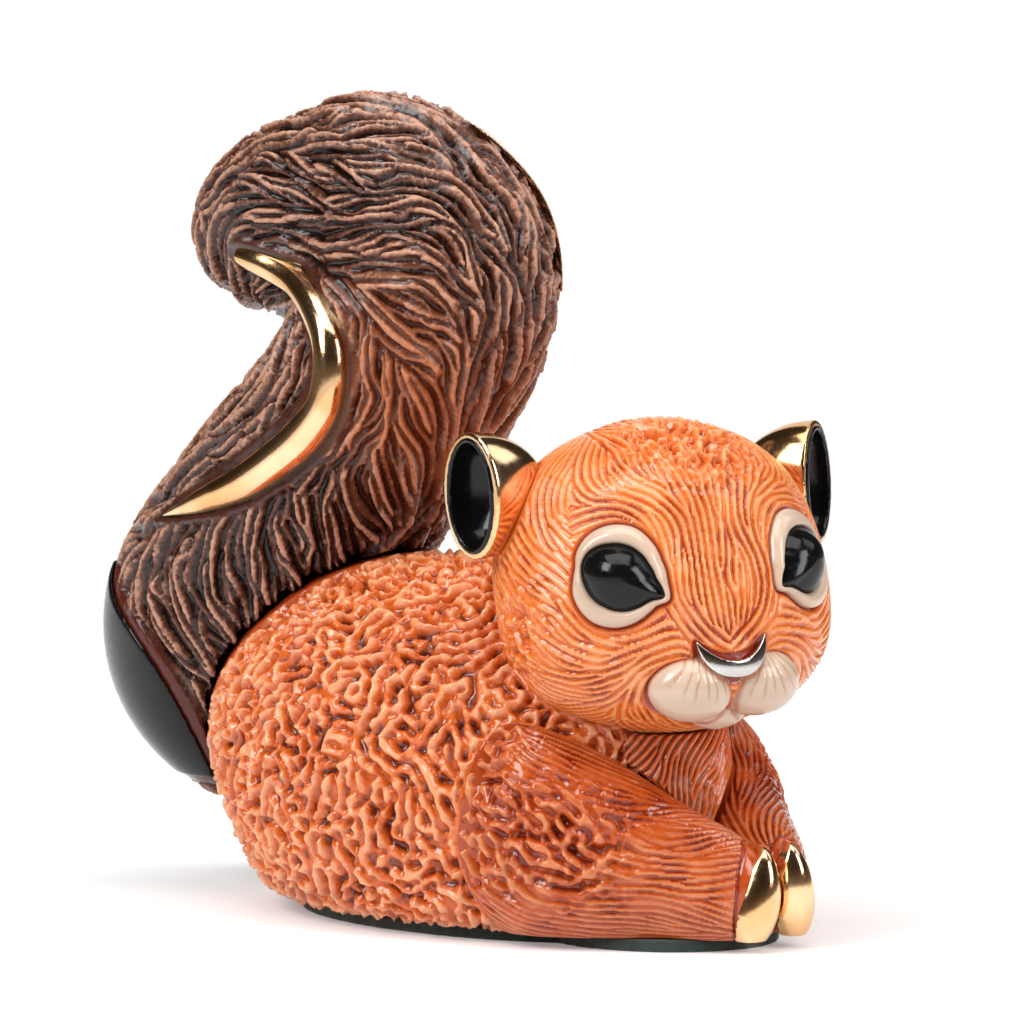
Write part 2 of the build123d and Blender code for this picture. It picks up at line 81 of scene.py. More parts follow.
# %% Place the camera
CAMERA_AZIMUTH, CAMERA_ELEVATION, CAMERA_DISTANCE = -48, 4.5, 0.8
LENS, SENSOR = 241.9, 36
AIM_ALONG, AIM_UP = -5.1 * MM, 48.2 * MM


def towards(azimuth, elevation):
    """The direction from the piece to something at an angle round it, in degrees."""
    a, e = math.radians(azimuth), math.radians(elevation)
    return Vector((math.sin(a) * math.cos(e), -math.cos(a) * math.cos(e), math.sin(e)))


to_camera = towards(CAMERA_AZIMUTH, CAMERA_ELEVATION)
sideways = Vector((math.cos(math.radians(CAMERA_AZIMUTH)), math.sin(math.radians(CAMERA_AZIMUTH)), 0))
aim = sideways * AIM_ALONG + Vector((0, 0, AIM_UP))
camera_data = bpy.data.cameras.new("camera")
camera_data.lens, camera_data.sensor_width = LENS, SENSOR
camera_data.clip_start, camera_data.clip_end = 0.05, 20
camera = bpy.data.objects.new("camera", camera_data)
bpy.context.collection.objects.link(camera)
camera.location = aim + to_camera * CAMERA_DISTANCE
camera.rotation_euler = to_camera.to_track_quat("Z", "Y").to_euler()
bpy.context.scene.camera = camera
print("camera at", [round(c, 3) for c in camera.location])

# %% [markdown]
# ## Small helpers for node trees
#
# Geometry trees and shader trees are wired in the same way, so the same helpers serve both:
# one gives a tree its named inputs and outputs, and one adds a node, sets it and wires its
# inputs.

# %% Helpers for node trees
def outside(tree, inputs, outputs):
    """The named inputs of a tree or group, most with a value to start from, and its outputs."""
    for name, kind, *value in inputs:
        made = tree.interface.new_socket(name=name, in_out="INPUT", socket_type="NodeSocket" + kind)
        if value:
            made.default_value = value[0]
    for name, kind in outputs:
        tree.interface.new_socket(name=name, in_out="OUTPUT", socket_type="NodeSocket" + kind)


def add(tree, kind, wires=(), **settings):
    """One node with its settings, and its inputs by name or number as values or sockets."""
    node = tree.nodes.new(kind)
    for key, value in settings.items():
        setattr(node, key, value)
    for place, value in dict(wires).items():
        if isinstance(value, bpy.types.NodeSocket):
            tree.links.new(value, node.inputs[place])
        else:
            node.inputs[place].default_value = value
    return node


def maths(tree, operation, *values):
    """The result of one sum on numbers or sockets."""
    return add(tree, "ShaderNodeMath", enumerate(values), operation=operation).outputs[0]


def between(tree, value, low, high, to_low=0.0, to_high=1.0):
    """Value rescaled from one range to another along a smooth step."""
    return add(tree, "ShaderNodeMapRange", {"Value": value, "From Min": low, "From Max": high,
                                            "To Min": to_low, "To Max": to_high},
               interpolation_type="SMOOTHSTEP").outputs[0]


def seen_directly(tree):
    """1 for the camera's own rays and those in a mirror or clear glass, and 0 for diffuse light."""
    path = add(tree, "ShaderNodeLightPath").outputs
    return maths(tree, "MAXIMUM", path["Is Camera Ray"],
                 maths(tree, "MAXIMUM", path["Is Glossy Ray"], path["Is Transmission Ray"]))


def empty_material(name):
    """A material and its empty node tree."""
    material = bpy.data.materials.new(name)
    material.use_nodes = True
    material.node_tree.nodes.clear()
    return material, material.node_tree


# %% [markdown]
# ## Light
#
# A product photographer lights glazed pieces with large soft boxes, because the glaze mirrors
# whatever is in the room. The world is dim for diffuse light, and white for the camera and for
# mirror rays, so the background is white without more light on the piece.

# %% Light the stage
scene = bpy.context.scene
scene.view_settings.view_transform = "Standard"
world = bpy.data.worlds.new("studio")
scene.world = world
world.use_nodes = True
sky = world.node_tree
sky.nodes.clear()
WORLD_DIFFUSE = 0.34
strength = add(sky, "ShaderNodeMapRange",
               {"Value": seen_directly(sky), "To Min": WORLD_DIFFUSE, "To Max": 1.0}).outputs[0]
background = add(sky, "ShaderNodeBackground", {"Color": (1, 1, 1, 1), "Strength": strength})
add(sky, "ShaderNodeOutputWorld", {"Surface": background.outputs[0]})
LAMP_DISTANCE, LAMP_AIM = 0.8, Vector((0, 10 * MM, 45 * MM))


def lamp(name, azimuth, elevation, width, height, watts):
    """A soft box at an angle round the piece, turned to its middle."""
    light = bpy.data.lights.new(name, "AREA")
    light.shape, light.size, light.size_y, light.energy = "RECTANGLE", width, height, watts
    holder = bpy.data.objects.new(name, light)
    bpy.context.collection.objects.link(holder)
    away = towards(azimuth, elevation)
    holder.location = LAMP_AIM + away * LAMP_DISTANCE
    holder.rotation_euler = away.to_track_quat("Z", "Y").to_euler()


lamp("soft_box_left", -100, 38, 0.30, 0.45, 4.2)
lamp("soft_box_right", 8, 28, 0.25, 0.45, 2.6)
lamp("soft_box_above", CAMERA_AZIMUTH, 78, 0.80, 0.50, 3.8)
lamp("soft_box_behind", 55, 45, 0.35, 0.35, 0.6)

# %% [markdown]
# ## The floor and the tent
#
# The floor is plain pale card. It lifts a little where the camera sees it, so that it meets the
# white background without an edge, and it fades out well behind the piece. It keeps the
# shadow. Round the stage stands a dark warm tent that only mirror rays see: without it, gloss
# black would look grey and gold would look like paper.

# %% Lay the floor and put up the tent
def flat_mesh(name, corners, faces):
    """An object from a list of corners and faces."""
    mesh = bpy.data.meshes.new(name)
    mesh.from_pydata(corners, [], faces)
    made = bpy.data.objects.new(name, mesh)
    bpy.context.collection.objects.link(made)
    return made


FLOOR_RADIUS, FLOOR_SIDES = 0.6, 96
ring = [(FLOOR_RADIUS * math.cos(2 * math.pi * k / FLOOR_SIDES),
         FLOOR_RADIUS * math.sin(2 * math.pi * k / FLOOR_SIDES), 0) for k in range(FLOOR_SIDES)]
floor = flat_mesh("floor", ring, [tuple(range(FLOOR_SIDES))])
card, tree = empty_material("pale_card")
CARD_COLOUR, CARD_LIFT, FADE_FROM, FADE_TO = (0.84, 0.84, 0.84, 1), 0.22, 0.16, 0.42
paper = add(tree, "ShaderNodeBsdfDiffuse", {"Color": CARD_COLOUR}).outputs[0]
lift = maths(tree, "MULTIPLY", seen_directly(tree), CARD_LIFT)
glow = add(tree, "ShaderNodeEmission", {"Color": (1, 1, 1, 1), "Strength": lift})
lifted = add(tree, "ShaderNodeAddShader", {0: paper, 1: glow.outputs[0]}).outputs[0]
out_from_middle = add(tree, "ShaderNodeVectorMath", {0: add(tree, "ShaderNodeTexCoord").outputs["Object"]},
                      operation="LENGTH").outputs["Value"]
fade = between(tree, out_from_middle, FADE_FROM, FADE_TO)
clear = add(tree, "ShaderNodeBsdfTransparent").outputs[0]
surface = add(tree, "ShaderNodeMixShader", {0: fade, 1: lifted, 2: clear}).outputs[0]
add(tree, "ShaderNodeOutputMaterial", {"Surface": surface})
floor.data.materials.append(card)

TENT_RADIUS, TENT_HALF_ANGLE = 1.7, 160
TENT_COLOUR, TENT_TOP, TENT_GLOW_LOW, TENT_GLOW_HIGH = (1.0, 0.8, 0.62, 1), 0.6, 0.16, 0.035
turns = range(-TENT_HALF_ANGLE, TENT_HALF_ANGLE + 1, 10)
levels = range(0, 91, 6)
cloth_points = [tuple(towards(CAMERA_AZIMUTH + turn, level) * TENT_RADIUS) for level in levels for turn in turns]
tent = flat_mesh("tent", cloth_points,
                 [(r * len(turns) + k, r * len(turns) + k + 1, (r + 1) * len(turns) + k + 1, (r + 1) * len(turns) + k)
                  for r in range(len(levels) - 1) for k in range(len(turns) - 1)])
velvet, tree = empty_material("dark_velvet")
height = add(tree, "ShaderNodeSeparateXYZ", {0: add(tree, "ShaderNodeTexCoord").outputs["Object"]}).outputs["Z"]
dim = between(tree, height, 0.0, TENT_TOP, TENT_GLOW_LOW, TENT_GLOW_HIGH)
shade = add(tree, "ShaderNodeEmission", {"Color": TENT_COLOUR, "Strength": dim})
add(tree, "ShaderNodeOutputMaterial", {"Surface": shade.outputs[0]})
tent.data.materials.append(velvet)
tent.visible_camera = tent.visible_diffuse = tent.visible_shadow = False
tent.visible_transmission = False
print("stage", floor.name, tent.name)

# %% [markdown]
# ## An even skin for every piece
#
# A CAD mesh has long thin triangles, and strokes can't be cut into those. Each form is copied,
# its loose triangles are merged, and a voxel remesh lays a grid of small equal faces over it.
# A few rounds of smoothing then soften every edge, as a wet sponge and the glaze do on the
# real clay. The copy replaces the CAD node, which stays for the physics.

# %% Make an even skin
def even_skin(node, grain, sponge):
    """A closed copy of a CAD node with faces of one size and softened edges."""
    source = frame["nodes"][node]
    mesh = source.data.copy()
    mesh.transform(source.matrix_world)
    build = bmesh.new()
    build.from_mesh(mesh)
    bmesh.ops.remove_doubles(build, verts=build.verts, dist=0.002 * MM)
    build.to_mesh(mesh)
    build.free()
    mesh.materials.clear()
    piece = bpy.data.objects.new(node + "_skin", mesh)
    bpy.context.collection.objects.link(piece)
    remesh = piece.modifiers.new("even faces", "REMESH")
    remesh.mode, remesh.voxel_size, remesh.use_smooth_shade = "VOXEL", grain * MM, True
    soften = piece.modifiers.new("wet sponge", "SMOOTH")
    soften.factor, soften.iterations = 0.5, sponge
    settle(piece)
    print(node, "even faces", len(piece.data.polygons))
    return piece


def settle(piece):
    """Turns what the modifiers make into the object's own plain mesh."""
    graph = bpy.context.evaluated_depsgraph_get()
    made = bpy.data.meshes.new_from_object(piece.evaluated_get(graph), depsgraph=graph)
    piece.modifiers.clear()
    old, piece.data = piece.data, made
    bpy.data.meshes.remove(old)


def points(piece):
    """Places and normals of a piece's vertices as two arrays, in millimetres."""
    count = len(piece.data.vertices)
    place, normal = np.empty(count * 3), np.empty(count * 3)
    piece.data.vertices.foreach_get("co", place)
    piece.data.vertices.foreach_get("normal", normal)
    return place.reshape(-1, 3) / MM, normal.reshape(-1, 3)


def keep(piece, name, values):
    """Stores one number or vector for each vertex under a name."""
    values = np.asarray(values, dtype=float)
    kind = "FLOAT" if values.ndim == 1 else "FLOAT_VECTOR"
    layer = piece.data.attributes.get(name) or piece.data.attributes.new(name, kind, "POINT")
    layer.data.foreach_set("value" if values.ndim == 1 else "vector", values.ravel())


def step(value, low, high):
    """A smooth step from 0 at low to 1 at high."""
    share = np.clip((value - low) / (high - low), 0, 1)
    return share * share * (3 - 2 * share)


# %% [markdown]
# ## How far away the neighbours are
#
# Along every seam the maker leaves a smooth lip or cuts a clean line: round the lids, beside
# the gold crescents, where the tail leaves the body. Each skin therefore needs to know how
# far each point is from the pieces beside it.

# %% Measure the gap to neighbours
SKINS = {}


def surface_of(name, piece=None):
    """A search tree over a CAD node or a made piece, with its box, in millimetres."""
    if name not in SKINS:
        source = piece or frame["nodes"][name]
        corners = [source.matrix_world @ v.co / MM for v in source.data.vertices]
        SKINS[name] = (BVHTree.FromPolygons(corners, [tuple(p.vertices) for p in source.data.polygons]),
                       np.min(corners, axis=0), np.max(corners, axis=0))
    return SKINS[name]


def gap_to(place, nodes, reach):
    """The distance from each point to the nearest of some nodes, up to a reach."""
    gap = np.full(len(place), float(reach))
    for node in nodes:
        search, low, high = surface_of(node)
        near = np.nonzero(np.all((place > low - reach) & (place < high + reach), axis=1))[0]
        for i in near:
            found = search.find_nearest(place[i], gap[i])
            if found[3] is not None:
                gap[i] = found[3]
    return gap


# %% [markdown]
# ## Uneven places
#
# No two cuts of a hand are equally deep. Slow random waves make them uneven, crumpled ridges
# roughen them, and soft patches say where the carver changed from one kind of stroke to
# another.

# %% Waves, crumpled ridges and patches
START = Vector((17.3, 5.1, 9.7))
CRUMPLE_PUSH, CRUMPLE_WAVE, CRUMPLE_SHARP = 0.55, 1.3, 2.6


def wander(place, size, seed):
    """Smooth random numbers from about -1 to 1, with lumps of a size in millimetres."""
    start = START * (seed + 1)
    return np.array([mathutils.noise.noise(Vector(spot) / size + start) for spot in place.tolist()])


def crumple(place, size, seed):
    """Thin ridges round broad hollows, as on crumpled paper: 1 on a ridge and 0 in a hollow."""
    waves = np.stack([wander(place, CRUMPLE_WAVE * size, seed + k) for k in (1, 2, 3)], axis=1)
    pushed = place + CRUMPLE_PUSH * size * waves
    return np.clip(1 - CRUMPLE_SHARP * np.abs(wander(pushed, size, seed)), 0, 1)


def patch(place, middle, reach, firm=1.0):
    """A soft patch: 1 in its middle, and 0 beyond its reach along each axis."""
    return np.exp(-(((place - middle) / reach) ** 2).sum(1) ** firm)


# %% [markdown]
# ## Combing the strokes
#
# A carver lays each stroke beside the last one, along the fur. A few guide lines, drawn over
# the right side of each form, say which way the fur runs there, and on most forms a mirrored
# copy combs the left side. At every point the nearest guides vote for a direction in the
# surface. A few slow waves then sway that direction, as a hand does.

# %% Comb a skin along guide lines
BATCH = 4000


def dense(guides, spacing=1.5):
    """Middles and directions of short pieces of the guide lines."""
    middles, ways = [], []
    for line in guides:
        line = np.array(line, dtype=float)
        for a, b in zip(line[:-1], line[1:]):
            length = np.linalg.norm(b - a)
            count = max(1, int(length / spacing))
            for k in range(count):
                middles.append(a + (b - a) * (k + 0.5) / count)
                ways.append((b - a) / length)
    return np.array(middles), np.array(ways)


def mirrored(guides, through, across):
    """The guide lines and their copies on the other side of a plane."""
    across = np.array(across) / np.linalg.norm(across)
    copies = [[np.array(p) - 2 * across * np.dot(np.array(p) - through, across) for p in line]
              for line in guides]
    return [list(line) for line in guides] + copies


def comb(piece, guides, reach=2.5, sway=0.0, wave=6.0, seed=1):
    """Stores the way the strokes run, as a unit vector in the surface."""
    place, normal = points(piece)
    middles, ways = dense(guides)
    votes = np.einsum("si,sj->sij", ways, ways).reshape(-1, 9)
    tensor = np.empty((len(place), 9))
    for start in range(0, len(place), BATCH):
        part = slice(start, start + BATCH)
        apart = (place[part] ** 2).sum(1)[:, None] + (middles ** 2).sum(1) - 2 * place[part] @ middles.T
        apart += reach ** 2
        tensor[part] = (1 / (apart * apart * np.sqrt(apart))) @ votes
    tensor = tensor.reshape(-1, 3, 3)
    flat = np.eye(3) - np.einsum("ni,nj->nij", normal, normal)
    tensor = flat @ tensor @ flat
    tensor /= np.trace(tensor, axis1=1, axis2=2)[:, None, None] + 1e-30
    way = np.linalg.eigh(tensor)[1][:, :, 2]
    rng = np.random.default_rng(seed)
    angle = np.zeros(len(place))
    for k in range(6):
        pull = rng.normal(size=3)
        pull *= 2 * np.pi / wave / np.linalg.norm(pull) * rng.uniform(0.6, 1.5)
        angle += np.sin(place @ pull + rng.uniform(0, 2 * np.pi)) / math.sqrt(3)
    angle = (angle * sway)[:, None]
    way = way * np.cos(angle) + np.cross(normal, way) * np.sin(angle)
    way -= normal * np.einsum("ni,ni->n", way, normal)[:, None]
    way /= np.linalg.norm(way, axis=1)[:, None] + 1e-12
    keep(piece, "comb", way)


# %% [markdown]
# ## Letting the strokes grow
#
# Nobody can place ten thousand strokes by hand, but a simple rule grows them. It starts from
# noise with a fixed seed. In each round every point takes the mean of its neighbours along
# the comb, adds what is near across it and subtracts what is a little further away. Ridges
# push their neighbours down, so they end up evenly spaced, they follow the comb, and they
# fork and end as cut strokes do. This is the rule by which a zebra gets its stripes. Lumps
# make some places favour a ridge and others a hollow, so the strokes swell and break.

# %% Tree: growing strokes
def growing_tree():
    """Grows a ridge pattern over a skin and stores it under a name, from -1 to 1."""
    tree = bpy.data.node_groups.new("growing_strokes", "GeometryNodeTree")
    outside(tree, (("Geometry", "Geometry"), ("Seed", "Int", 1), ("Rounds", "Int", 30), ("Near", "Int", 2),
                   ("Far", "Int", 8), ("Stride", "Float", 0.0005), ("Lumps", "Float", 0.0),
                   ("Lump Size", "Float", 2.0), ("Name", "String", "stroke")), (("Geometry", "Geometry"),))
    given = add(tree, "NodeGroupInput").outputs
    noise = add(tree, "FunctionNodeRandomValue", {"Seed": given["Seed"]}, data_type="FLOAT")
    noise.inputs[2].default_value, noise.inputs[3].default_value = -1.0, 1.0
    first = add(tree, "GeometryNodeStoreNamedAttribute",
                {"Geometry": given["Geometry"], "Name": given["Name"], "Value": noise.outputs[1]})
    start = tree.nodes.new("GeometryNodeRepeatInput")
    end = tree.nodes.new("GeometryNodeRepeatOutput")
    start.pair_with_output(end)
    tree.links.new(given["Rounds"], start.inputs["Iterations"])
    tree.links.new(first.outputs[0], start.inputs["Geometry"])
    skin = start.outputs["Geometry"]
    height = add(tree, "GeometryNodeInputNamedAttribute", {"Name": given["Name"]}).outputs[0]
    way = add(tree, "GeometryNodeInputNamedAttribute", {"Name": "comb"}, data_type="FLOAT_VECTOR").outputs[0]
    place = add(tree, "GeometryNodeInputPosition").outputs[0]
    total = maths(tree, "MULTIPLY", height, 3.0)
    for steps, weight in ((-2, 1.0), (-1, 2.0), (1, 2.0), (2, 1.0)):
        reach = maths(tree, "MULTIPLY", given["Stride"], float(steps))
        shift = add(tree, "ShaderNodeVectorMath", {0: way, "Scale": reach}, operation="SCALE").outputs[0]
        spot = add(tree, "ShaderNodeVectorMath", {0: place, 1: shift}, operation="ADD").outputs[0]
        there = add(tree, "GeometryNodeSampleNearestSurface",
                    {"Mesh": skin, "Value": height, "Sample Position": spot}).outputs[0]
        total = maths(tree, "MULTIPLY_ADD", there, weight, total)
    along = maths(tree, "DIVIDE", total, 9.0)
    near = add(tree, "GeometryNodeBlurAttribute", {"Value": along, "Iterations": given["Near"]}).outputs[0]
    far = add(tree, "GeometryNodeBlurAttribute", {"Value": along, "Iterations": given["Far"]}).outputs[0]
    per_mm = maths(tree, "DIVIDE", 1.0 / MM, given["Lump Size"])
    lumps = add(tree, "ShaderNodeTexNoise", {"Vector": place, "Scale": per_mm, "Detail": 1.0}).outputs[0]
    push = maths(tree, "MULTIPLY", maths(tree, "SUBTRACT", lumps, 0.5), given["Lumps"])
    grown = maths(tree, "TANH", maths(tree, "MULTIPLY_ADD", maths(tree, "SUBTRACT", near, far), 6.0, push))
    after = add(tree, "GeometryNodeStoreNamedAttribute",
                {"Geometry": skin, "Name": given["Name"], "Value": grown})
    tree.links.new(after.outputs[0], end.inputs["Geometry"])
    add(tree, "NodeGroupOutput", {0: end.outputs["Geometry"]})
    return tree


def run_tree(piece, tree, **inputs):
    """Runs a geometry tree on a piece, with its named inputs set, and keeps the result."""
    modifier = piece.modifiers.new(tree.name, "NODES")
    modifier.node_group = tree
    for item in tree.interface.items_tree:
        if item.item_type == "SOCKET" and item.in_out == "INPUT" and item.name in inputs:
            modifier[item.identifier] = inputs[item.name]
    settle(piece)


GROWING = growing_tree()
print("growing tree", len(GROWING.nodes), "nodes")


# %% [markdown]
# ## Cutting the strokes in
#
# The tool takes clay away, so every cut goes inwards from the smooth form and the piece never
# grows past the CAD model. A point is pushed in along the softened normal by its own cut
# depth, and a little chatter from the tool roughens what is cut.

# %% Tree: carving
def carving_tree():
    """Pushes each point in by its stored cut, roughened by tool chatter."""
    tree = bpy.data.node_groups.new("carving", "GeometryNodeTree")
    outside(tree, (("Geometry", "Geometry"), ("Depth", "Float", 1.0), ("Chatter", "Float", 0.05),
                   ("Chatter Size", "Float", 0.8), ("Material", "Material")), (("Geometry", "Geometry"),))
    given = add(tree, "NodeGroupInput").outputs
    cut = add(tree, "GeometryNodeInputNamedAttribute", {"Name": "cut"}).outputs[0]
    normal = add(tree, "GeometryNodeInputNormal").outputs[0]
    soft = add(tree, "GeometryNodeBlurAttribute", {"Value": normal, "Iterations": 6},
               data_type="FLOAT_VECTOR").outputs[0]
    place = add(tree, "GeometryNodeInputPosition").outputs[0]
    per_mm = maths(tree, "DIVIDE", 1.0 / MM, given["Chatter Size"])
    rough = add(tree, "ShaderNodeTexNoise", {"Vector": place, "Scale": per_mm, "Detail": 3.0}).outputs[0]
    loose = maths(tree, "MULTIPLY", maths(tree, "MULTIPLY", rough, given["Chatter"]),
                  maths(tree, "MINIMUM", maths(tree, "MULTIPLY", cut, 6.0), 1.0))
    depth = maths(tree, "MULTIPLY", maths(tree, "MULTIPLY_ADD", cut, given["Depth"], loose), -MM)
    shift = add(tree, "ShaderNodeVectorMath", {0: soft, "Scale": depth}, operation="SCALE").outputs[0]
    pushed = add(tree, "GeometryNodeSetPosition", {"Geometry": given["Geometry"], "Offset": shift})
    real = add(tree, "GeometryNodeRealizeInstances", {0: pushed.outputs[0]})
    glazed = add(tree, "GeometryNodeSetMaterial", {"Geometry": real.outputs[0], "Material": given["Material"]})
    add(tree, "NodeGroupOutput", {0: glazed.outputs[0]})
    return tree


CARVING = carving_tree()
print("carving tree", len(CARVING.nodes), "nodes")

# %% [markdown]
# ## Where the strokes run
#
# These lines were drawn along the strokes of the right side, in millimetres in the
# model's own frame. On the tail they rise from the body, pass beside the gold crescent, wind
# round the curled tip and run down the front edge in long waves. On the head they circle the
# eye and the cheek and converge on the nose.

# %% Guide lines
TAIL_STRANDS = (
    ((-5.2, 26.5, 95.7), (-2, 21.3, 95.5), (0.3, 16.1, 93.1), (3.4, 12, 89.8), (5.4, 8.5, 85.7),
     (4.7, 5.1, 79.8), (5.1, 4.7, 73.8), (5, 5.8, 67.8), (4.6, 9.9, 60.2)),
    ((-6.8, 37.4, 92.9), (-8.5, 26.7, 93.7), (-6.3, 19.3, 93.2), (-3.8, 13.9, 91.1), (-1.8, 9.3, 87.9),
     (-0.8, 5.4, 82.9), (-0.1, 3.6, 77), (-0.7, 3.9, 71.1), (-1.1, 6, 65.1)),
    ((-10.8, 26.9, 90.7), (-8.5, 19.3, 91.7), (-5.9, 13.6, 90), (-4.6, 8.4, 85.9), (-3, 4.6, 80),
     (-1.8, 3.7, 74.1), (-2.3, 4.5, 69.3)),
    ((-11.7, 31.5, 88.3), (-12.5, 25.4, 86.9), (-12.4, 18.9, 86.1), (-9.9, 13.9, 86.8),
     (-7.4, 10.2, 85.9), (-5.7, 6.6, 82.4), (-4.4, 4.5, 77.1), (-2.7, 4.5, 69.6)),
    ((-12, 37.9, 87.6), (-12.7, 31, 85.6), (-13.3, 23, 83.7), (-12.4, 15.7, 83.6), (-9.9, 11.9, 84.8),
     (-7.3, 8.3, 83.6), (-5.3, 5.3, 79.5), (-3.9, 4.2, 73.5)),
    ((-12.8, 40.1, 84.5), (-13.3, 33.3, 83.2), (-12.7, 26.8, 82.4), (-13.5, 18.7, 81.4),
     (-12.3, 13.8, 81.2), (-9.4, 9.5, 82.1), (-7.1, 6.5, 80.1), (-4.8, 4.6, 75.3), (-3, 4.6, 69.3)),
    ((-12.9, 30.4, 82), (-13.6, 22.7, 79.9), (-13, 15.1, 79.4), (-11, 10.5, 79.2), (-9, 7.6, 77.5),
     (-6.8, 5.6, 73.6), (-4.7, 5.5, 68.2), (-2.4, 7.1, 63.3)),
    ((-13.7, 22.6, 76.9), (-13.2, 14.9, 76.5), (-11.3, 10.3, 76), (-9.1, 7.5, 73.3), (-6.9, 6.3, 69.4),
     (-4.6, 6.7, 65.2), (-2.6, 9, 60.5)),
    ((-14, 18.7, 74), (-12.9, 13.6, 72.7), (-10.9, 9.8, 71.8), (-8.7, 7.8, 69.2), (-6.4, 7.6, 65.2),
     (-5.4, 9.2, 61.6)),
    ((-13.8, 16.8, 71.7), (-12.6, 13.1, 69.4), (-10.6, 10.1, 68), (-8.4, 8.9, 65.3), (-6.8, 9.6, 62.2),
     (-5.9, 11.2, 59.1)),
    ((-13.7, 16.1, 69.4), (-12.7, 13.8, 67), (-10.8, 11.5, 65), (-8.8, 11, 62.2), (-7.1, 11.7, 59.4),
     (-6.3, 13.3, 56.7)),
    ((-13.5, 15.9, 65.8), (-12.4, 14.9, 62.8), (-10.8, 14.8, 59.5), (-8.6, 15.2, 56.1),
     (-4.8, 16.3, 51.9)),
    ((-13.9, 16.8, 67.9), (-13.7, 17.3, 63.7), (-13.5, 18.8, 59.7), (-13.5, 21.2, 56.1), (-13, 23.4, 52)),
    ((-13.8, 22.1, 75.7), (-14.1, 19, 72), (-14.1, 17.6, 68.1), (-14.1, 18.2, 63.7),
     (-14.1, 20.3, 59.4), (-13.8, 24.3, 55.3), (-14.4, 28.6, 51.6)),
    ((-10.1, 47.8, 77.9), (-10.7, 47.4, 81.6), (-10.8, 45.4, 85.3), (-10.5, 41.9, 88.4),
     (-10.2, 37.1, 90.2), (-10.1, 32.2, 90.6)),
    ((-12, 43.1, 77.8), (-12.6, 42.9, 81.1), (-13, 39.9, 83.9), (-13.2, 35.5, 84.9), (-13, 31.5, 84.4)),
    ((-10.2, 47.4, 77.3), (-6.4, 49.4, 73.7)),
    ((-9.6, 37.2, 90.8), (-11.7, 33.6, 88.5), (-12.7, 31, 85.6)),
    ((-13.4, 29.5, 67.7), (-14.9, 29.7, 63.2), (-15.7, 33.2, 58.6), (-15.7, 39.5, 54.1),
     (-14.9, 45.8, 50.7)),
    ((-12.9, 32.5, 66.1), (-14.4, 33.2, 62.5), (-15, 37.3, 58.1), (-14.4, 43.7, 53.9)),
    ((-4.5, 48.5, 20.9), (-13.3, 43.9, 25.1), (-15.8, 47.2, 29.1), (-16.6, 50.4, 33.1),
     (-16.5, 52.1, 37), (-16.6, 50.4, 40)),
    ((-4.3, 47.9, 25.9), (-14.3, 41.3, 30.6), (-16.1, 43.5, 34), (-16.9, 46, 36.8), (-17, 46.3, 40),
     (-16.9, 42.7, 42.8)),
    ((-1.9, 46.9, 29), (-13.9, 38.5, 33.6), (-15.7, 39.9, 37.1), (-16.4, 40.4, 40),
     (-16.4, 38.3, 43.3), (-16.1, 35.9, 45.2)),
    ((-1, 45.4, 31.4), (-13.5, 35.3, 37.3), (-15.3, 36.3, 40.8), (-15.7, 35.4, 43.7),
     (-15.6, 33.5, 46.1)),
    ((0.3, 43, 34.1), (-11.9, 32.4, 38.5), (-13.9, 32.9, 41.5), (-14.7, 32.4, 44.4), (-15, 31, 47.1)),
    ((1.5, 40.8, 35.9), (-10.6, 29.6, 40.3), (-13.1, 30.4, 43.3), (-14.3, 30.1, 46.2),
     (-14.3, 28.5, 48.3)),
    ((3.6, 39.2, 36.8), (-8.9, 27.3, 41.5), (-11.8, 27.7, 44.5), (-13.5, 27.7, 47.4), (-14, 26, 51)),
    ((5.4, 36.9, 37.6), (-6.7, 25.5, 42), (-10.1, 25.4, 45.1), (-12.4, 25.6, 48.1),
     (-13.3, 24.3, 51.6), (-13.2, 21.7, 54.6)),
    ((6.4, 34.2, 38.6), (-4.4, 23.3, 43.4), (-8, 22.3, 46.8), (-10.8, 21.6, 50.5), (-11.9, 19.8, 54.6)),
    ((6.3, 30.5, 40), (-1.1, 22.1, 44.1), (-5.2, 19, 48.8), (-8.7, 18.1, 52.5), (-10.5, 17.2, 55.8)),
    ((5.6, 26.3, 41.2), (0.8, 20.4, 46.1), (-2, 17, 50.2), (-6.3, 14.9, 54.5)),
    ((-13.7, 59.9, 37), (-12.9, 57.8, 42), (-15.7, 49.9, 47.6), (-14.7, 44.1, 53)),
    ((-14.6, 56.9, 38.4), (-15.5, 51.9, 43.4), (-17.3, 44.3, 47.7)),
    ((-15.5, 56.8, 34.9), (-16.5, 52.5, 30), (-15, 48.3, 24.6), (-12.1, 46.3, 20.5), (-9.5, 46.4, 16.1)),
)
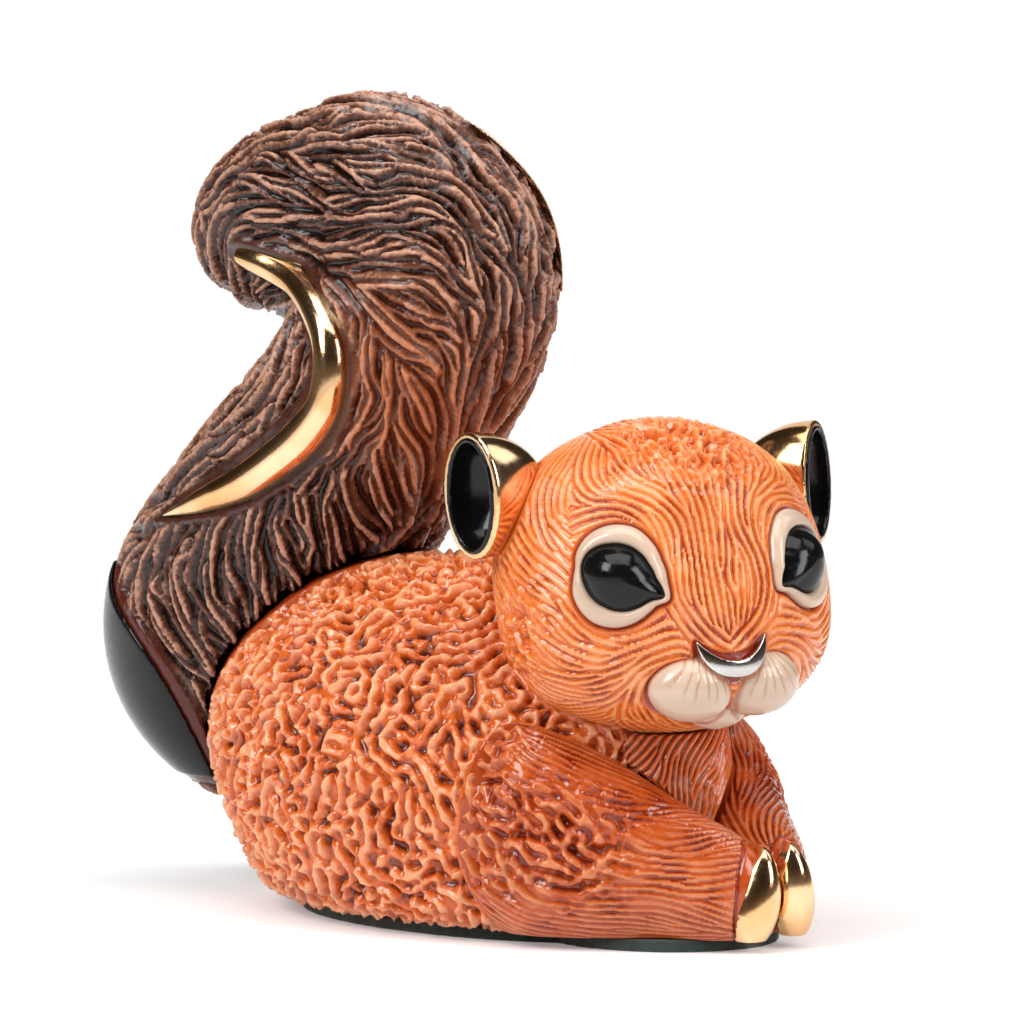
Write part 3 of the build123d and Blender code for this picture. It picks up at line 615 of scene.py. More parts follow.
HEAD_STROKES = (
    ((-6.8, -31.2, 48.5), (-8.3, -32.1, 44.4), (-8.6, -33.1, 40.5), (-7.4, -33.9, 37)),
    ((-8.9, -29.9, 49.1), (-10.3, -30.7, 45), (-10.7, -31.7, 41.3), (-9.6, -32.9, 37.6),
     (-7.8, -33.9, 36.2)),
    ((-10.9, -28.8, 48.6), (-12.2, -29.6, 44.5), (-12.8, -30.4, 40.6), (-11.7, -31.6, 37.7),
     (-9.3, -33.1, 36)),
    ((-13, -27.8, 47.1), (-13.5, -28.9, 43.2), (-13.7, -29.8, 39.8), (-12.6, -30.9, 37.2),
     (-10.3, -32.4, 35.5)),
    ((-17.9, -19.8, 47.7), (-16.6, -21.8, 48.8), (-15.2, -24.1, 49.2), (-14.2, -26, 48.1),
     (-13.8, -27.5, 46.1), (-13.8, -28.5, 43.5)),
    ((-17.8, -18.3, 49), (-16.4, -20.9, 50.1), (-14.4, -24.1, 50.7), (-13, -26.4, 49.7),
     (-12.5, -28.1, 47.3), (-12.8, -29.1, 44.5)),
    ((-18.8, -17.3, 46.9), (-18.3, -15.1, 48.9), (-17, -14.7, 51.4), (-15.6, -14.5, 53.5),
     (-14.3, -14.8, 54.8)),
    ((-19.2, -14.5, 46.2), (-18, -12.6, 49.2), (-16.1, -11.8, 52.3), (-13.5, -11.9, 55.1)),
    ((-12.1, -17.8, 56.4), (-13.9, -19, 54.7), (-14.5, -21.3, 53), (-13.5, -23.6, 52.5),
     (-12.5, -25.3, 52), (-11.6, -27.3, 50.4), (-11.5, -28.3, 48.6)),
    ((-13.1, -15.9, 55.8), (-15.3, -17.4, 53.6), (-15.9, -20.1, 51.6), (-14.7, -22.9, 51.5),
     (-13, -25.7, 50.7), (-12.4, -27.6, 48.6)),
    ((-10.5, -20.7, 56.7), (-12.2, -22.5, 54.8), (-12.1, -24.2, 53.5), (-11.3, -26.3, 52.2)),
    ((-15.3, -7.4, 51), (-18.2, -10.4, 47.5), (-19.4, -13.2, 45.1), (-19.6, -16.7, 43.7),
     (-19.5, -18.7, 42.7)),
    ((-17.5, -7.6, 46.2), (-19.2, -11, 43.3), (-19.9, -14.1, 41.4), (-19.9, -18, 40.3)),
    ((-19.6, -19.5, 40.7), (-19.3, -21.4, 37.8), (-18, -24.5, 36.7), (-16.3, -27.2, 37.5),
     (-14.3, -29.3, 39.3)),
    ((-20.1, -17.1, 38.9), (-19.5, -20.8, 36.2), (-18, -24.4, 35.5), (-16, -27.6, 36.4),
     (-13.6, -30.1, 37.7)),
    ((-20.1, -15, 36.7), (-19.5, -19.5, 34.3), (-18, -23.8, 33.9), (-15.9, -27.5, 35.3),
     (-13.2, -30.4, 36.6)),
    ((-19.6, -12.4, 35.9), (-19.5, -16.6, 33), (-18.4, -21.3, 31.9), (-17, -25, 32.8),
     (-15.8, -27.5, 34.5), (-13.3, -30.2, 35.6)),
    ((-17.9, -9.1, 34), (-18.1, -13.2, 30.8), (-18, -18.8, 30.1), (-17, -23.6, 31.2),
     (-16.4, -26.2, 33.1)),
    ((-15.5, -15.9, 27.5), (-16, -21.3, 28.5), (-16, -24.8, 30.6)),
    ((-13.6, -22, 27), (-15.3, -24.9, 29.8)),
    ((-16.5, -25.9, 32.9), (-15.8, -24.6, 30.1), (-12.6, -24, 27.1), (-5.9, -22.5, 24.8)),
    ((2.3, -22.4, 58.8), (-3.6, -27.5, 55.9), (-5.9, -29.8, 52.1)),
    ((-2, -20.7, 59.5), (-7, -25.4, 56.2), (-8.9, -27.8, 52.7)),
)
FORELEG_STROKES = (
    ((-21.7, -5.2, 11.4), (-21.1, -8.9, 6.4), (-19, -14.1, 3.7), (-15.1, -19.5, 2.9),
     (-10.3, -24.9, 2.3), (-7.3, -30, 2.2)),
    ((-21.9, -6.2, 15), (-21.8, -7.6, 9.8), (-21, -11.2, 6.6), (-18.8, -15.9, 4.7),
     (-14.8, -21.2, 4.2), (-11.5, -25.9, 4.6), (-8, -30.9, 4.1)),
    ((-12.4, -26, 11.7), (-10.1, -28.6, 11.4), (-6.6, -30.8, 12.7)),
    ((-12.4, -26.3, 8.2), (-10.4, -28.8, 7.4), (-8.2, -31.4, 7.1)),
    ((-19, -15.2, 21), (-16.9, -19.1, 18.5), (-13.9, -22.7, 16.2), (-10.8, -25.3, 15.5),
     (-5.2, -28.1, 14.9)),
    ((-19.1, -16.5, 19), (-17, -20, 16.5), (-13.9, -23.5, 14.5), (-10.6, -27.1, 13.3),
     (-6.2, -30.5, 13.2)),
    ((-21, -5.3, 20.6), (-21.9, -10, 17.6), (-21, -15.1, 13.9), (-17.9, -20, 11.1), (-14, -24.3, 9.4)),
)
CHEST_STROKES = (
    ((2.5, -22.7, 21.4), (-0.1, -23, 19), (-0.8, -22.9, 16.5)),
    ((0.2, -22.7, 23.1), (-1.7, -22.8, 21.5), (-2.9, -22.7, 19.3), (-3.2, -22.6, 16.9)),
    ((-4.4, -22.1, 22.6), (-5.4, -21.8, 20.9), (-6, -21.6, 18.9)),
    ((-7.6, -20.2, 22.4), (-8.3, -19.7, 21.3)),
)
BODY_RIDGES = (
    ((-21.9, 30.7, 16.4), (-22.3, 29.5, 22.3), (-20.8, 28.2, 27.9), (-18.7, 25.9, 32.2),
     (-16.6, 20.5, 35.8), (-12.4, 14.6, 39.6), (-9.8, 7.5, 40.7)),
    ((-24, 23.2, 14.4), (-24.5, 21.9, 20.2), (-23.5, 19.8, 25.9), (-21.5, 15.8, 30.3),
     (-19.2, 10.3, 33.3), (-16, 3.7, 35.4)),
    ((-25, 14.5, 13.7), (-25.1, 12.4, 19.6), (-23.6, 8.1, 25.3), (-20.6, 3.3, 29.6), (-16.5, -2.4, 32.5)),
    ((-17, -1.7, 32.4), (-18.9, -1.9, 29.6), (-20.6, -1.5, 26.8), (-21.9, -1.8, 22.8),
     (-22.1, -2.8, 19.7), (-21.5, -4.6, 15.4)),
    ((-20.5, 9, 31.3), (-23, 8.7, 26.8), (-24.4, 7.8, 22.3), (-24.5, 5.3, 17.8), (-23.7, 2.1, 13.9)),
    ((-22.7, 18.3, 27.9), (-24.7, 16, 22.9), (-25.2, 13.5, 18.7), (-25, 10.1, 14.5)),
)
print("guide lines", len(TAIL_STRANDS), len(HEAD_STROKES), len(FORELEG_STROKES),
      len(CHEST_STROKES), len(BODY_RIDGES))

# %% [markdown]
# ## Glazes
#
# Coloured glaze is a film of glass. It runs off the ridges, where it is thin and pale, and
# pools in the cuts, where it is dark and strong. One group, used by every coloured glaze,
# turns the height of the surface into that run of colours and adds the clouds, specks and
# pits that a hand-brushed glaze has.

# %% Group: pooled glaze
def tone(red, green, blue):
    """A colour as it is read off a screen, turned into the light values that Blender mixes."""
    return tuple((c / 255 / 12.92) if c < 11 else ((c / 255 + 0.055) / 1.055) ** 2.4
                 for c in (red, green, blue)) + (1.0,)


def mix(tree, share, first, second):
    """One colour laid over another."""
    return add(tree, "ShaderNodeMix", {0: share, 6: first, 7: second}, data_type="RGBA").outputs[2]


def noise(tree, place, per_mm, detail=3.0, rough=0.55, warp=0.0):
    """A cloud pattern with a number of lumps to the millimetre."""
    return add(tree, "ShaderNodeTexNoise", {"Vector": place, "Scale": per_mm / MM, "Detail": detail,
                                            "Roughness": rough, "Distortion": warp}).outputs[0]


def pooled_glaze():
    """Colour, roughness and fine relief of a glaze by the height of the carved surface."""
    tree = bpy.data.node_groups.new("pooled_glaze", "ShaderNodeTree")
    outside(tree, (("Height", "Float", 1.0), ("Ridge", "Color", (0.8, 0.5, 0.3, 1)),
                   ("Slope", "Color", (0.6, 0.3, 0.1, 1)), ("Pool", "Color", (0.2, 0.1, 0.05, 1)),
                   ("Cloud", "Float", 0.3), ("Specks", "Float", 0.3)),
            (("Color", "Color"), ("Roughness", "Float"), ("Relief", "Float")))
    given = add(tree, "NodeGroupInput").outputs
    place = add(tree, "ShaderNodeTexCoord").outputs["Object"]
    cloud = noise(tree, place, 0.22, 4.0)
    fine = noise(tree, place, 1.6, 5.0, 0.7)
    lift = maths(tree, "MULTIPLY", maths(tree, "SUBTRACT", cloud, 0.5), given["Cloud"])
    specks = maths(tree, "MULTIPLY", maths(tree, "SUBTRACT", fine, 0.5), given["Specks"])
    height = maths(tree, "ADD", maths(tree, "ADD", given["Height"], lift), specks)
    low = between(tree, height, 0.0, 0.5)
    high = between(tree, height, 0.5, 1.0)
    colour = mix(tree, high, mix(tree, low, given["Pool"], given["Slope"]), given["Ridge"])
    rough = between(tree, fine, 0.35, 0.75, 0.08, 0.3)
    add(tree, "NodeGroupOutput", {"Color": colour, "Roughness": rough, "Relief": fine})
    return tree


POOLED = pooled_glaze()
print("pooled glaze", len(POOLED.nodes), "nodes")

# %% [markdown]
# ## One recipe for each finish
#
# The shader itself stays in each material: a base under a clear glossy coat for the glazes, a
# bare metal film for the lustres, and a dull, fuzzy cloth for the felt.

# %% Recipes
def finish_sheet(name):
    """An empty material with its shader wired to the output."""
    material, tree = empty_material(name)
    shader = add(tree, "ShaderNodeBsdfPrincipled")
    add(tree, "ShaderNodeOutputMaterial", {"Surface": shader.outputs[0]})
    return material, tree, shader


def read(tree, name):
    """A number stored on the piece."""
    return add(tree, "ShaderNodeAttribute", attribute_name=name, attribute_type="GEOMETRY").outputs["Fac"]


def dent(tree, shader, relief, depth):
    """Fine relief that is too small to be geometry, in millimetres."""
    bump = add(tree, "ShaderNodeBump", {"Height": relief, "Distance": depth * MM, "Strength": 1.0})
    tree.links.new(bump.outputs[0], shader.inputs["Normal"])


def glaze(name, ridge, slope, pool, rim, cloud=0.3, specks=0.35, grain=0.03, coat=0.4, gloss=0.4,
          tint=None, strip=None):
    """A coloured glaze, given in screen colours, that reads the stored marks of its piece."""
    material, tree, shader = finish_sheet(name)
    group = add(tree, "ShaderNodeGroup", node_tree=POOLED)
    height = read(tree, "height")
    tree.links.new(height, group.inputs["Height"])
    for place, value in (("Ridge", tone(*ridge)), ("Slope", tone(*slope)), ("Pool", tone(*pool)),
                         ("Cloud", cloud), ("Specks", specks)):
        group.inputs[place].default_value = value
    colour = group.outputs["Color"]
    if tint:
        warm = mix(tree, height, tone(*tint[1]), tone(*tint[0]))
        colour = mix(tree, read(tree, "tint"), colour, warm)
    colour = mix(tree, read(tree, "rim"), colour, tone(*rim))
    if strip:
        colour = mix(tree, read(tree, "strip"), colour, tone(*strip))
    tree.links.new(colour, shader.inputs["Base Color"])
    tree.links.new(group.outputs["Roughness"], shader.inputs["Roughness"])
    shader.inputs["Coat Weight"].default_value = coat
    shader.inputs["Coat Roughness"].default_value = 0.08
    shader.inputs["Specular IOR Level"].default_value = gloss
    dent(tree, shader, group.outputs["Relief"], grain)
    return material


def lustre(name, thick, thin, rough):
    """A metal film brushed over the glaze and fired on."""
    material, tree, shader = finish_sheet(name)
    place = add(tree, "ShaderNodeTexCoord").outputs["Object"]
    brush = noise(tree, place, 0.12, 2.0, 0.5)
    pits = noise(tree, place, 2.5, 4.0, 0.7)
    share = between(tree, brush, 0.35, 0.7)
    tree.links.new(mix(tree, share, tone(*thick), tone(*thin)), shader.inputs["Base Color"])
    tree.links.new(between(tree, pits, 0.3, 0.8, rough, rough + 0.1), shader.inputs["Roughness"])
    shader.inputs["Metallic"].default_value = 1.0
    dent(tree, shader, pits, 0.006)
    return material


def cloth(name, dark, light):
    """Pressed wool felt: short fibres that catch light at the edge."""
    material, tree, shader = finish_sheet(name)
    place = add(tree, "ShaderNodeTexCoord").outputs["Object"]
    fibres = noise(tree, place, 3.5, 6.0, 0.75, 2.0)
    clumps = noise(tree, place, 0.5, 3.0)
    share = between(tree, maths(tree, "MULTIPLY_ADD", clumps, 0.4, maths(tree, "MULTIPLY", fibres, 0.8)), 0.35, 0.85)
    tree.links.new(mix(tree, share, tone(*dark), tone(*light)), shader.inputs["Base Color"])
    shader.inputs["Roughness"].default_value = 0.95
    shader.inputs["Sheen Weight"].default_value = 0.4
    dent(tree, shader, fibres, 0.15)
    return material


# %% Mix the finishes
body_glaze = glaze("body_glaze", (242, 164, 116), (214, 98, 34), (104, 32, 12),
                   (160, 62, 26), cloud=0.5, specks=0.45, grain=0.02)
head_glaze = glaze("head_glaze", (244, 166, 112), (226, 112, 40), (166, 60, 22),
                   (156, 50, 26), cloud=0.6, specks=0.4, grain=0.015, coat=0.3)
foreleg_glaze = glaze("foreleg_glaze", (214, 130, 82), (186, 77, 26), (122, 33, 10),
                      (132, 42, 22), cloud=0.6, specks=0.4, grain=0.015, coat=0.3)
tail_glaze = glaze("tail_glaze", (196, 146, 120), (92, 54, 42), (26, 13, 10),
                   (72, 38, 28), cloud=0.5, grain=0.06, specks=1.0, coat=0.15, gloss=0.35,
                   tint=((208, 124, 76), (110, 48, 26)), strip=(84, 30, 20))
cream_glaze = glaze("cream_glaze", (209, 183, 161), (192, 154, 126), (160, 104, 72),
                    (178, 104, 76), cloud=0.25, specks=0.2, grain=0.01)
black_glaze = glaze("black_glaze", (14, 14, 15), (9, 9, 10), (5, 5, 5), (40, 24, 20),
                    grain=0.004, coat=0.0, gloss=0.3)
gold_lustre = lustre("gold_lustre", (250, 214, 172), (230, 180, 124), 0.1)
platinum_lustre = lustre("platinum_lustre", (214, 210, 206), (188, 184, 180), 0.1)
felt_green = cloth("felt_green", (20, 38, 33), (52, 78, 68))
print("finishes", [m.name for m in bpy.data.materials if m.users])

# %% [markdown]
# ## Fitting a finished piece to the model
#
# Each finished skin loses the faces that it needs least, if it has too many. It rides on the
# one body and stands for its CAD node.

# %% Hand a piece over
MOST_TRIANGLES = 190000


def triangles(piece):
    """How many triangles a piece has, with its larger faces cut up."""
    return sum(len(face.vertices) - 2 for face in piece.data.polygons)


def hand_over(piece, name, node):
    """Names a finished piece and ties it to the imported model."""
    if triangles(piece) > MOST_TRIANGLES:
        fewer = piece.modifiers.new("fewer faces", "DECIMATE")
        fewer.ratio = MOST_TRIANGLES / triangles(piece)
        settle(piece)
    piece.name = piece.data.name = name
    piece.data.shade_smooth()
    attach(piece, "root")
    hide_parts(node)
    print(name, "triangles", triangles(piece))


# %% [markdown]
# ## Growing and carving one skin
#
# Three short calls do this on any piece: grow a pattern, read it back as numbers from 0 to 1,
# and carve with the depth and colour marks that are worked out from it.

# %% Grow and carve
def stored(piece, name):
    """Reads back the numbers kept under a name, rescaled from 0 to 1."""
    values = np.empty(len(piece.data.vertices))
    piece.data.attributes[name].data.foreach_get("value", values)
    return values * 0.5 + 0.5


def grow(piece, name, seed, rounds, near, far, stride, lumps=0.0, lump_size=2.0):
    """Grows strokes over a combed skin and stores them under a name."""
    run_tree(piece, GROWING, Seed=seed, Rounds=rounds, Near=near, Far=far, Stride=stride, Name=name,
             Lumps=lumps, **{"Lump Size": lump_size})


def softened(piece, values):
    """Values averaged once with their neighbours, which rubs out hatching finer than a stroke."""
    pairs = np.empty(2 * len(piece.data.edges), dtype=np.int32)
    piece.data.edges.foreach_get("vertices", pairs)
    one, other = pairs.reshape(-1, 2).T
    total = np.bincount(one, values[other], len(values)) + np.bincount(other, values[one], len(values))
    return (values + total / np.bincount(pairs, minlength=len(values))) / 2


def carve(piece, cut, height, material, chatter=0.05, size=0.8, **marks):
    """Stores cut and colour marks, and cuts."""
    print(piece.name, "deepest cut in mm", round(float(np.max(cut)), 2))
    keep(piece, "cut", cut)
    keep(piece, "height", height)
    for name, values in marks.items():
        keep(piece, name, values)
    run_tree(piece, CARVING, Depth=1.0, Chatter=chatter, **{"Chatter Size": size, "Material": material})


# %% [markdown]
# ## Skins made of rows
#
# The crescents, eyes and lids have outlines of their own. Each is laid as rows of points from
# one end, or edge, to the other, and the rows are joined into one closed skin.

# %% Close a skin of rows
def closed_mesh(name, rows, wrap_rows):
    """A closed object from rows of points that each run all the way round."""
    count, around = len(rows), len(rows[0])
    faces = [(r * around + k, r * around + (k + 1) % around,
              (r + 1) % count * around + (k + 1) % around, (r + 1) % count * around + k)
             for r in range(count if wrap_rows else count - 1) for k in range(around)]
    corners = [tuple(c * MM for c in p) for row in rows for p in row]
    if not wrap_rows:
        for row, first in ((rows[0], 0), (rows[-1], (count - 1) * around)):
            middle = np.mean([tuple(p) for p in row], axis=0) * MM
            corners.append(tuple(middle))
            faces += [(first + k, first + (k + 1) % around, len(corners) - 1) for k in range(around)]
    made = flat_mesh(name, corners, faces)
    build = bmesh.new()
    build.from_mesh(made.data)
    bmesh.ops.recalc_face_normals(build, faces=build.faces)
    build.to_mesh(made.data)
    build.free()
    return made


def flowing(corners, count):
    """Points along a smooth line through the corners."""
    corners = np.array(corners, dtype=float)
    padded = np.vstack((2 * corners[0] - corners[1], corners, 2 * corners[-1] - corners[-2]))
    at = np.linspace(0, len(corners) - 1, count)
    whole = np.minimum(at.astype(int), len(corners) - 2)
    t = (at - whole)[:, None]
    a, b, c, d = (padded[whole + k] for k in range(4))
    return 0.5 * (2 * b + (c - a) * t + (2 * a - 5 * b + 4 * c - d) * t ** 2 + (3 * b - a - 3 * c + d) * t ** 3)


def blurred(values, reach, rounds):
    """Values averaged with their neighbours along the first axis."""
    for _ in range(rounds):
        padded = np.concatenate((np.repeat(values[:1], reach, 0), values, np.repeat(values[-1:], reach, 0)))
        values = sum(padded[k:k + len(values)] for k in range(2 * reach + 1)) / (2 * reach + 1)
    return values


# %% [markdown]
# ## The gold crescents
#
# On each side of the tail lies a gold crescent, rounded across, that starts at a blunt end under
# the curl, swells as it bends and runs out to a point at the rear. It is made as a row of
# round slices between a front and a rear edge, each laid on the tail's own surface with its
# lower half sunk in.

# %% Make the gold crescents
TAIL_GRAIN = 0.3
tail = even_skin("tail_casting", TAIL_GRAIN, 70)
surface_of("smooth tail", tail)
BAND_FRONT = ((40.9, 78.5), (37.4, 78.9), (33.6, 78.0), (29.0, 75.9), (24.4, 72.8), (21.1, 69.0), (20.1, 65.2),
              (20.7, 60.8), (23.2, 57.2), (27.4, 54.0), (33.6, 50.4), (42.0, 47.6), (50.5, 46.0))
BAND_REAR = ((40.7, 76.3), (38.4, 75.2), (35.6, 74.0), (32.0, 72.4), (28.6, 70.0), (26.0, 67.0), (25.3, 63.6),
             (26.2, 60.0), (29.4, 56.6), (33.4, 53.6), (39.0, 50.4), (45.4, 47.7), (50.5, 46.0))
SLICES, ROUND = 220, 28
BAND_RISE, BAND_SUNK, BAND_DROP = 2.6, 2.4, 0.4
BLUNT_END, POINTED_END = 0.035, 0.02
NARROWED, FULL_HEIGHT_AT = 0.84, 2.0
BLUR_REACH, BLUR_ROUNDS = 12, 4


def gold_crescent(word, side):
    """One crescent on one side of the tail."""
    front, rear = flowing(BAND_FRONT, SLICES), flowing(BAND_REAR, SLICES)
    middle, half = (front + rear) / 2, (front - rear) / 2
    far = np.arange(SLICES) / SLICES
    blunt = np.sqrt(np.clip(1 - (1 - np.clip(far / BLUNT_END, 0, 1)) ** 2, 0, 1))
    blunt *= np.clip((1 - far) / POINTED_END, 0, 1)
    wide = np.linalg.norm(half, axis=1) * blunt
    search = SKINS["smooth tail"][0]
    feet, outs = [], []
    for (y, z) in middle:
        hit, way, _, _ = search.ray_cast(Vector((side * 40, y, z)), Vector((-side, 0, 0)))
        feet.append(tuple(hit))
        outs.append(tuple(way))
    feet, outs = np.array(feet), blurred(np.array(outs), BLUR_REACH, BLUR_ROUNDS)
    feet[:, 0] = blurred(feet[:, :1], BLUR_REACH, BLUR_ROUNDS)[:, 0]
    outs /= np.linalg.norm(outs, axis=1)[:, None]
    run = np.gradient(feet, axis=0)
    run /= np.linalg.norm(run, axis=1)[:, None]
    across = np.cross(outs, run)
    across /= np.linalg.norm(across, axis=1)[:, None]
    rows = []
    for k in range(SLICES):
        full = max(wide[k] * NARROWED, 0.02)
        rise = BAND_RISE * min(1.0, full / FULL_HEIGHT_AT)
        turn = [2 * math.pi * j / ROUND for j in range(ROUND)]
        rows.append([feet[k] + across[k] * full * math.cos(t)
                     + outs[k] * ((rise if 0 <= math.sin(t) else BAND_SUNK) * math.sin(t) - BAND_DROP)
                     for t in turn])
    band = closed_mesh("band_" + word, rows, False)
    band.data.materials.append(gold_lustre)
    surface_of("crescent_" + word, band)
    hand_over(band, "gold_crescent_" + word, "tail_band_" + word)


for word, side in (("right", -1), ("left", 1)):
    gold_crescent(word, side)

# %% [markdown]
# ## The tail
#
# The tail is the showpiece: a hollow casting, carved all over in two sizes of stroke. Broad
# locks give the light and shade that is seen from far off, and each lock is split into finer
# strands. Beside the gold crescent and above the black patch runs a smooth lip.

# %% Carve the tail
comb(tail, mirrored(TAIL_STRANDS, (0, 0, 0), (1, 0, 0)), sway=0.28, wave=6)
grow(tail, "strand", 3, 22, 1, 6, 0.0007, 0.6, 1.6)
grow(tail, "lock", 8, 12, 12, 52, 0.0015)
place, _ = points(tail)
strand, lock = softened(tail, stored(tail, "strand")), stored(tail, "lock")
strand = np.clip(0.5 + 1.4 * (strand - 0.5), 0, 1)
to_band = gap_to(place, ["crescent_right", "crescent_left"], 3.0)
to_patch = gap_to(place, ["tail_base_patch"], 2.5)
to_body = gap_to(place, ["body_casting"], 2.0)
to_crest = gap_to(place, ["tail_crest_band"], 1.2)
carved = step(to_band, 0.9, 1.4) * step(to_patch, 1.3, 1.8) * step(to_crest, 0.2, 0.8)
seam = 1 - step(to_body, 0.1, 0.7)
groove = step(0.5 - strand, -0.4, 0.45)
uneven = np.clip(0.85 + 0.6 * wander(place, 3.0, 4), 0.4, 1.25)
split = crumple(place, 0.9, 7)
STRAND_DEPTH, LOCK_DEPTH, SPLIT_DEPTH, LIFT, SEAM_DEPTH = 0.68, 0.8, 0.07, 0.15, 0.15
cut = carved * (STRAND_DEPTH * groove * uneven + LOCK_DEPTH * (1 - lock) + SPLIT_DEPTH * (1 - split) - LIFT)
cut = cut + SEAM_DEPTH * seam
height = carved * ((1 - groove) * (0.6 + 0.2 * split) + lock * 0.35 - 0.15 + 0.15 * (uneven - 0.85))
height = (height + (1 - carved) * 0.35) * (1 - 0.6 * seam)
strip = 1 - step(to_patch, 1.2, 1.6)
gutter = 1 - step(to_band, 0.25, 0.5)
rim = (1 - step(to_band, 0.8, 1.2)) * (1 - strip) * (1 - gutter)
TINT_MIDDLE, TINT_REACH = (-8.5, 14, 62), (14, 9, 13)
tint = 0.9 * patch(place, TINT_MIDDLE, TINT_REACH)
carve(tail, cut, height * (1 - gutter), tail_glaze, chatter=0.2, size=0.5, rim=rim, strip=strip, tint=tint)
hand_over(tail, "carved_tail", "tail_casting")

# %% [markdown]
# ## The body
#
# The body's coat is worm-work: rounded ridges that wriggle and fork, with deep orange glaze
# lying between them. The same rule grows it with a short stride and strong lumps, so that the
# ridges hardly line up, and crumpled ridges are mixed in. A smooth lip is left where the tail
# rises from the back.

# %% Carve the body
body = even_skin("body_casting", 0.3, 40)
comb(body, mirrored(BODY_RIDGES, (0, 0, 0), (1, 0, 0)), sway=0.6, wave=8, seed=5)
grow(body, "worm", 5, 6, 3, 10, 0.0002, 1.8, 1.3)
worm = stored(body, "worm")
place, _ = points(body)
to_tail = gap_to(place, ["tail_casting", "tail_base_patch"], 2.5)
to_other = gap_to(place, ["head_casting", "foreleg_right", "foreleg_left", "ear_right"], 1.5)
carved = step(to_tail, 0.9, 1.6) * step(to_other, 0.0, 0.3)
relief = 0.62 * worm + 0.38 * crumple(place, 2.3, 2)
uneven = np.clip(0.9 + 0.8 * wander(place, 3.2, 6), 0.45, 1.3)
RIDGE_DEPTH, BODY_LIFT = 1.45, 0.12
cut = carved * (RIDGE_DEPTH * uneven * (1 - relief) - BODY_LIFT) + SEAM_DEPTH * (1 - step(to_other, 0.0, 0.5))
height = carved * (1.05 * relief - 0.25 * (uneven - 0.9)) + (1 - carved) * 0.5
carve(body, cut, height, body_glaze, chatter=0.25, size=0.7, rim=1 - step(to_tail, 0.7, 1.5))
hand_over(body, "carved_body", "body_casting")

# %% [markdown]
# ## The eyes and their lids
#
# Each eye is a gloss black almond dome, with its sharp corner towards the nose. It lies in a
# lid: a raised cream ring, broad above the eye and below it, and narrow at its corners. Both
# outlines are given by a radius at each angle round the eye, and both are laid on the head's
# own surface, so that they hug it.

# %% Frame and outlines of an eye
HEAD_PLACE, HEAD_ROLL, HEAD_TURN = (-0.8, -16.53, 42.01), -3, -24
EYE_PLACE, EYE_TURN = (11.4, -14.03, 1.75), 31
EYE_OUTLINE = (
    (-27, 5.75), (-4, 4.1), (22, 3.55), (51, 3.45), (81, 3.55), (106, 3.8), (129, 4.3), (145, 4.6), (163, 4.55),
    (176, 4.35), (195, 4.05), (219, 3.85), (243, 3.65), (270, 3.75), (295, 3.9), (316, 4.15), (327, 4.6),
)
LID_OUTLINE = (
    (-27, 6.3), (-9, 5.4), (19, 4.95), (49, 5.2), (73, 5.6), (95, 5.75), (118, 5.85), (136, 5.85), (153, 5.65),
    (168, 5.2), (183, 5.4), (199, 5.8), (219, 5.95), (237, 5.95), (259, 5.7), (282, 5.4), (305, 5.15), (322, 5.2),
)
EYE_STEPS = 128


def outline(table, angles):
    """The radius at each angle, round a closed outline, softened a little."""
    at, radius = np.array(table, dtype=float).T
    at = np.concatenate((at - 360, at, at + 360))
    shape = np.interp(angles, at, np.tile(radius, 3))
    for _ in range(2):
        shape = (np.roll(shape, 1) + 2 * shape + np.roll(shape, -1)) / 4
    return shape


def eye_frame(side):
    """The eye's own frame in millimetres: X across, Y up and Z out of the face."""
    head = Matrix.Translation(HEAD_PLACE) @ Matrix.Rotation(math.radians(HEAD_TURN), 4, "Z") \
        @ Matrix.Rotation(math.radians(HEAD_ROLL), 4, "Y")
    across, forward, level = EYE_PLACE
    return head @ Matrix.Translation((side * across, forward, level)) \
        @ Matrix.Rotation(math.radians(side * EYE_TURN), 4, "Z") @ Matrix.Rotation(math.radians(90), 4, "X")


def skin_level(search, placed, x, y):
    """How far out the head's skin lies at a place in the eye's frame."""
    start = placed @ Vector((x, y, 12))
    hit = search.ray_cast(start, placed.to_3x3() @ Vector((0, 0, -1)))[0]
    return (placed.inverted() @ hit).z if hit else -2.0


print("eye", len(EYE_OUTLINE), "lid", len(LID_OUTLINE), "outline points")

# %% Make the eyes and lids
EYE_RISE, LID_RISE, SUNK = 2.1, 0.85, 0.7
EYE_ROWS, EYE_FOOT = 25, 1.03
head = even_skin("head_casting", 0.225, 20)
head_skin = surface_of("smooth head", head)[0]


def plain_marks(piece):
    """Even colour marks for a piece that isn't carved."""
    for name, value in (("height", 0.9), ("rim", 0.0)):
        keep(piece, name, np.full(len(piece.data.vertices), value))


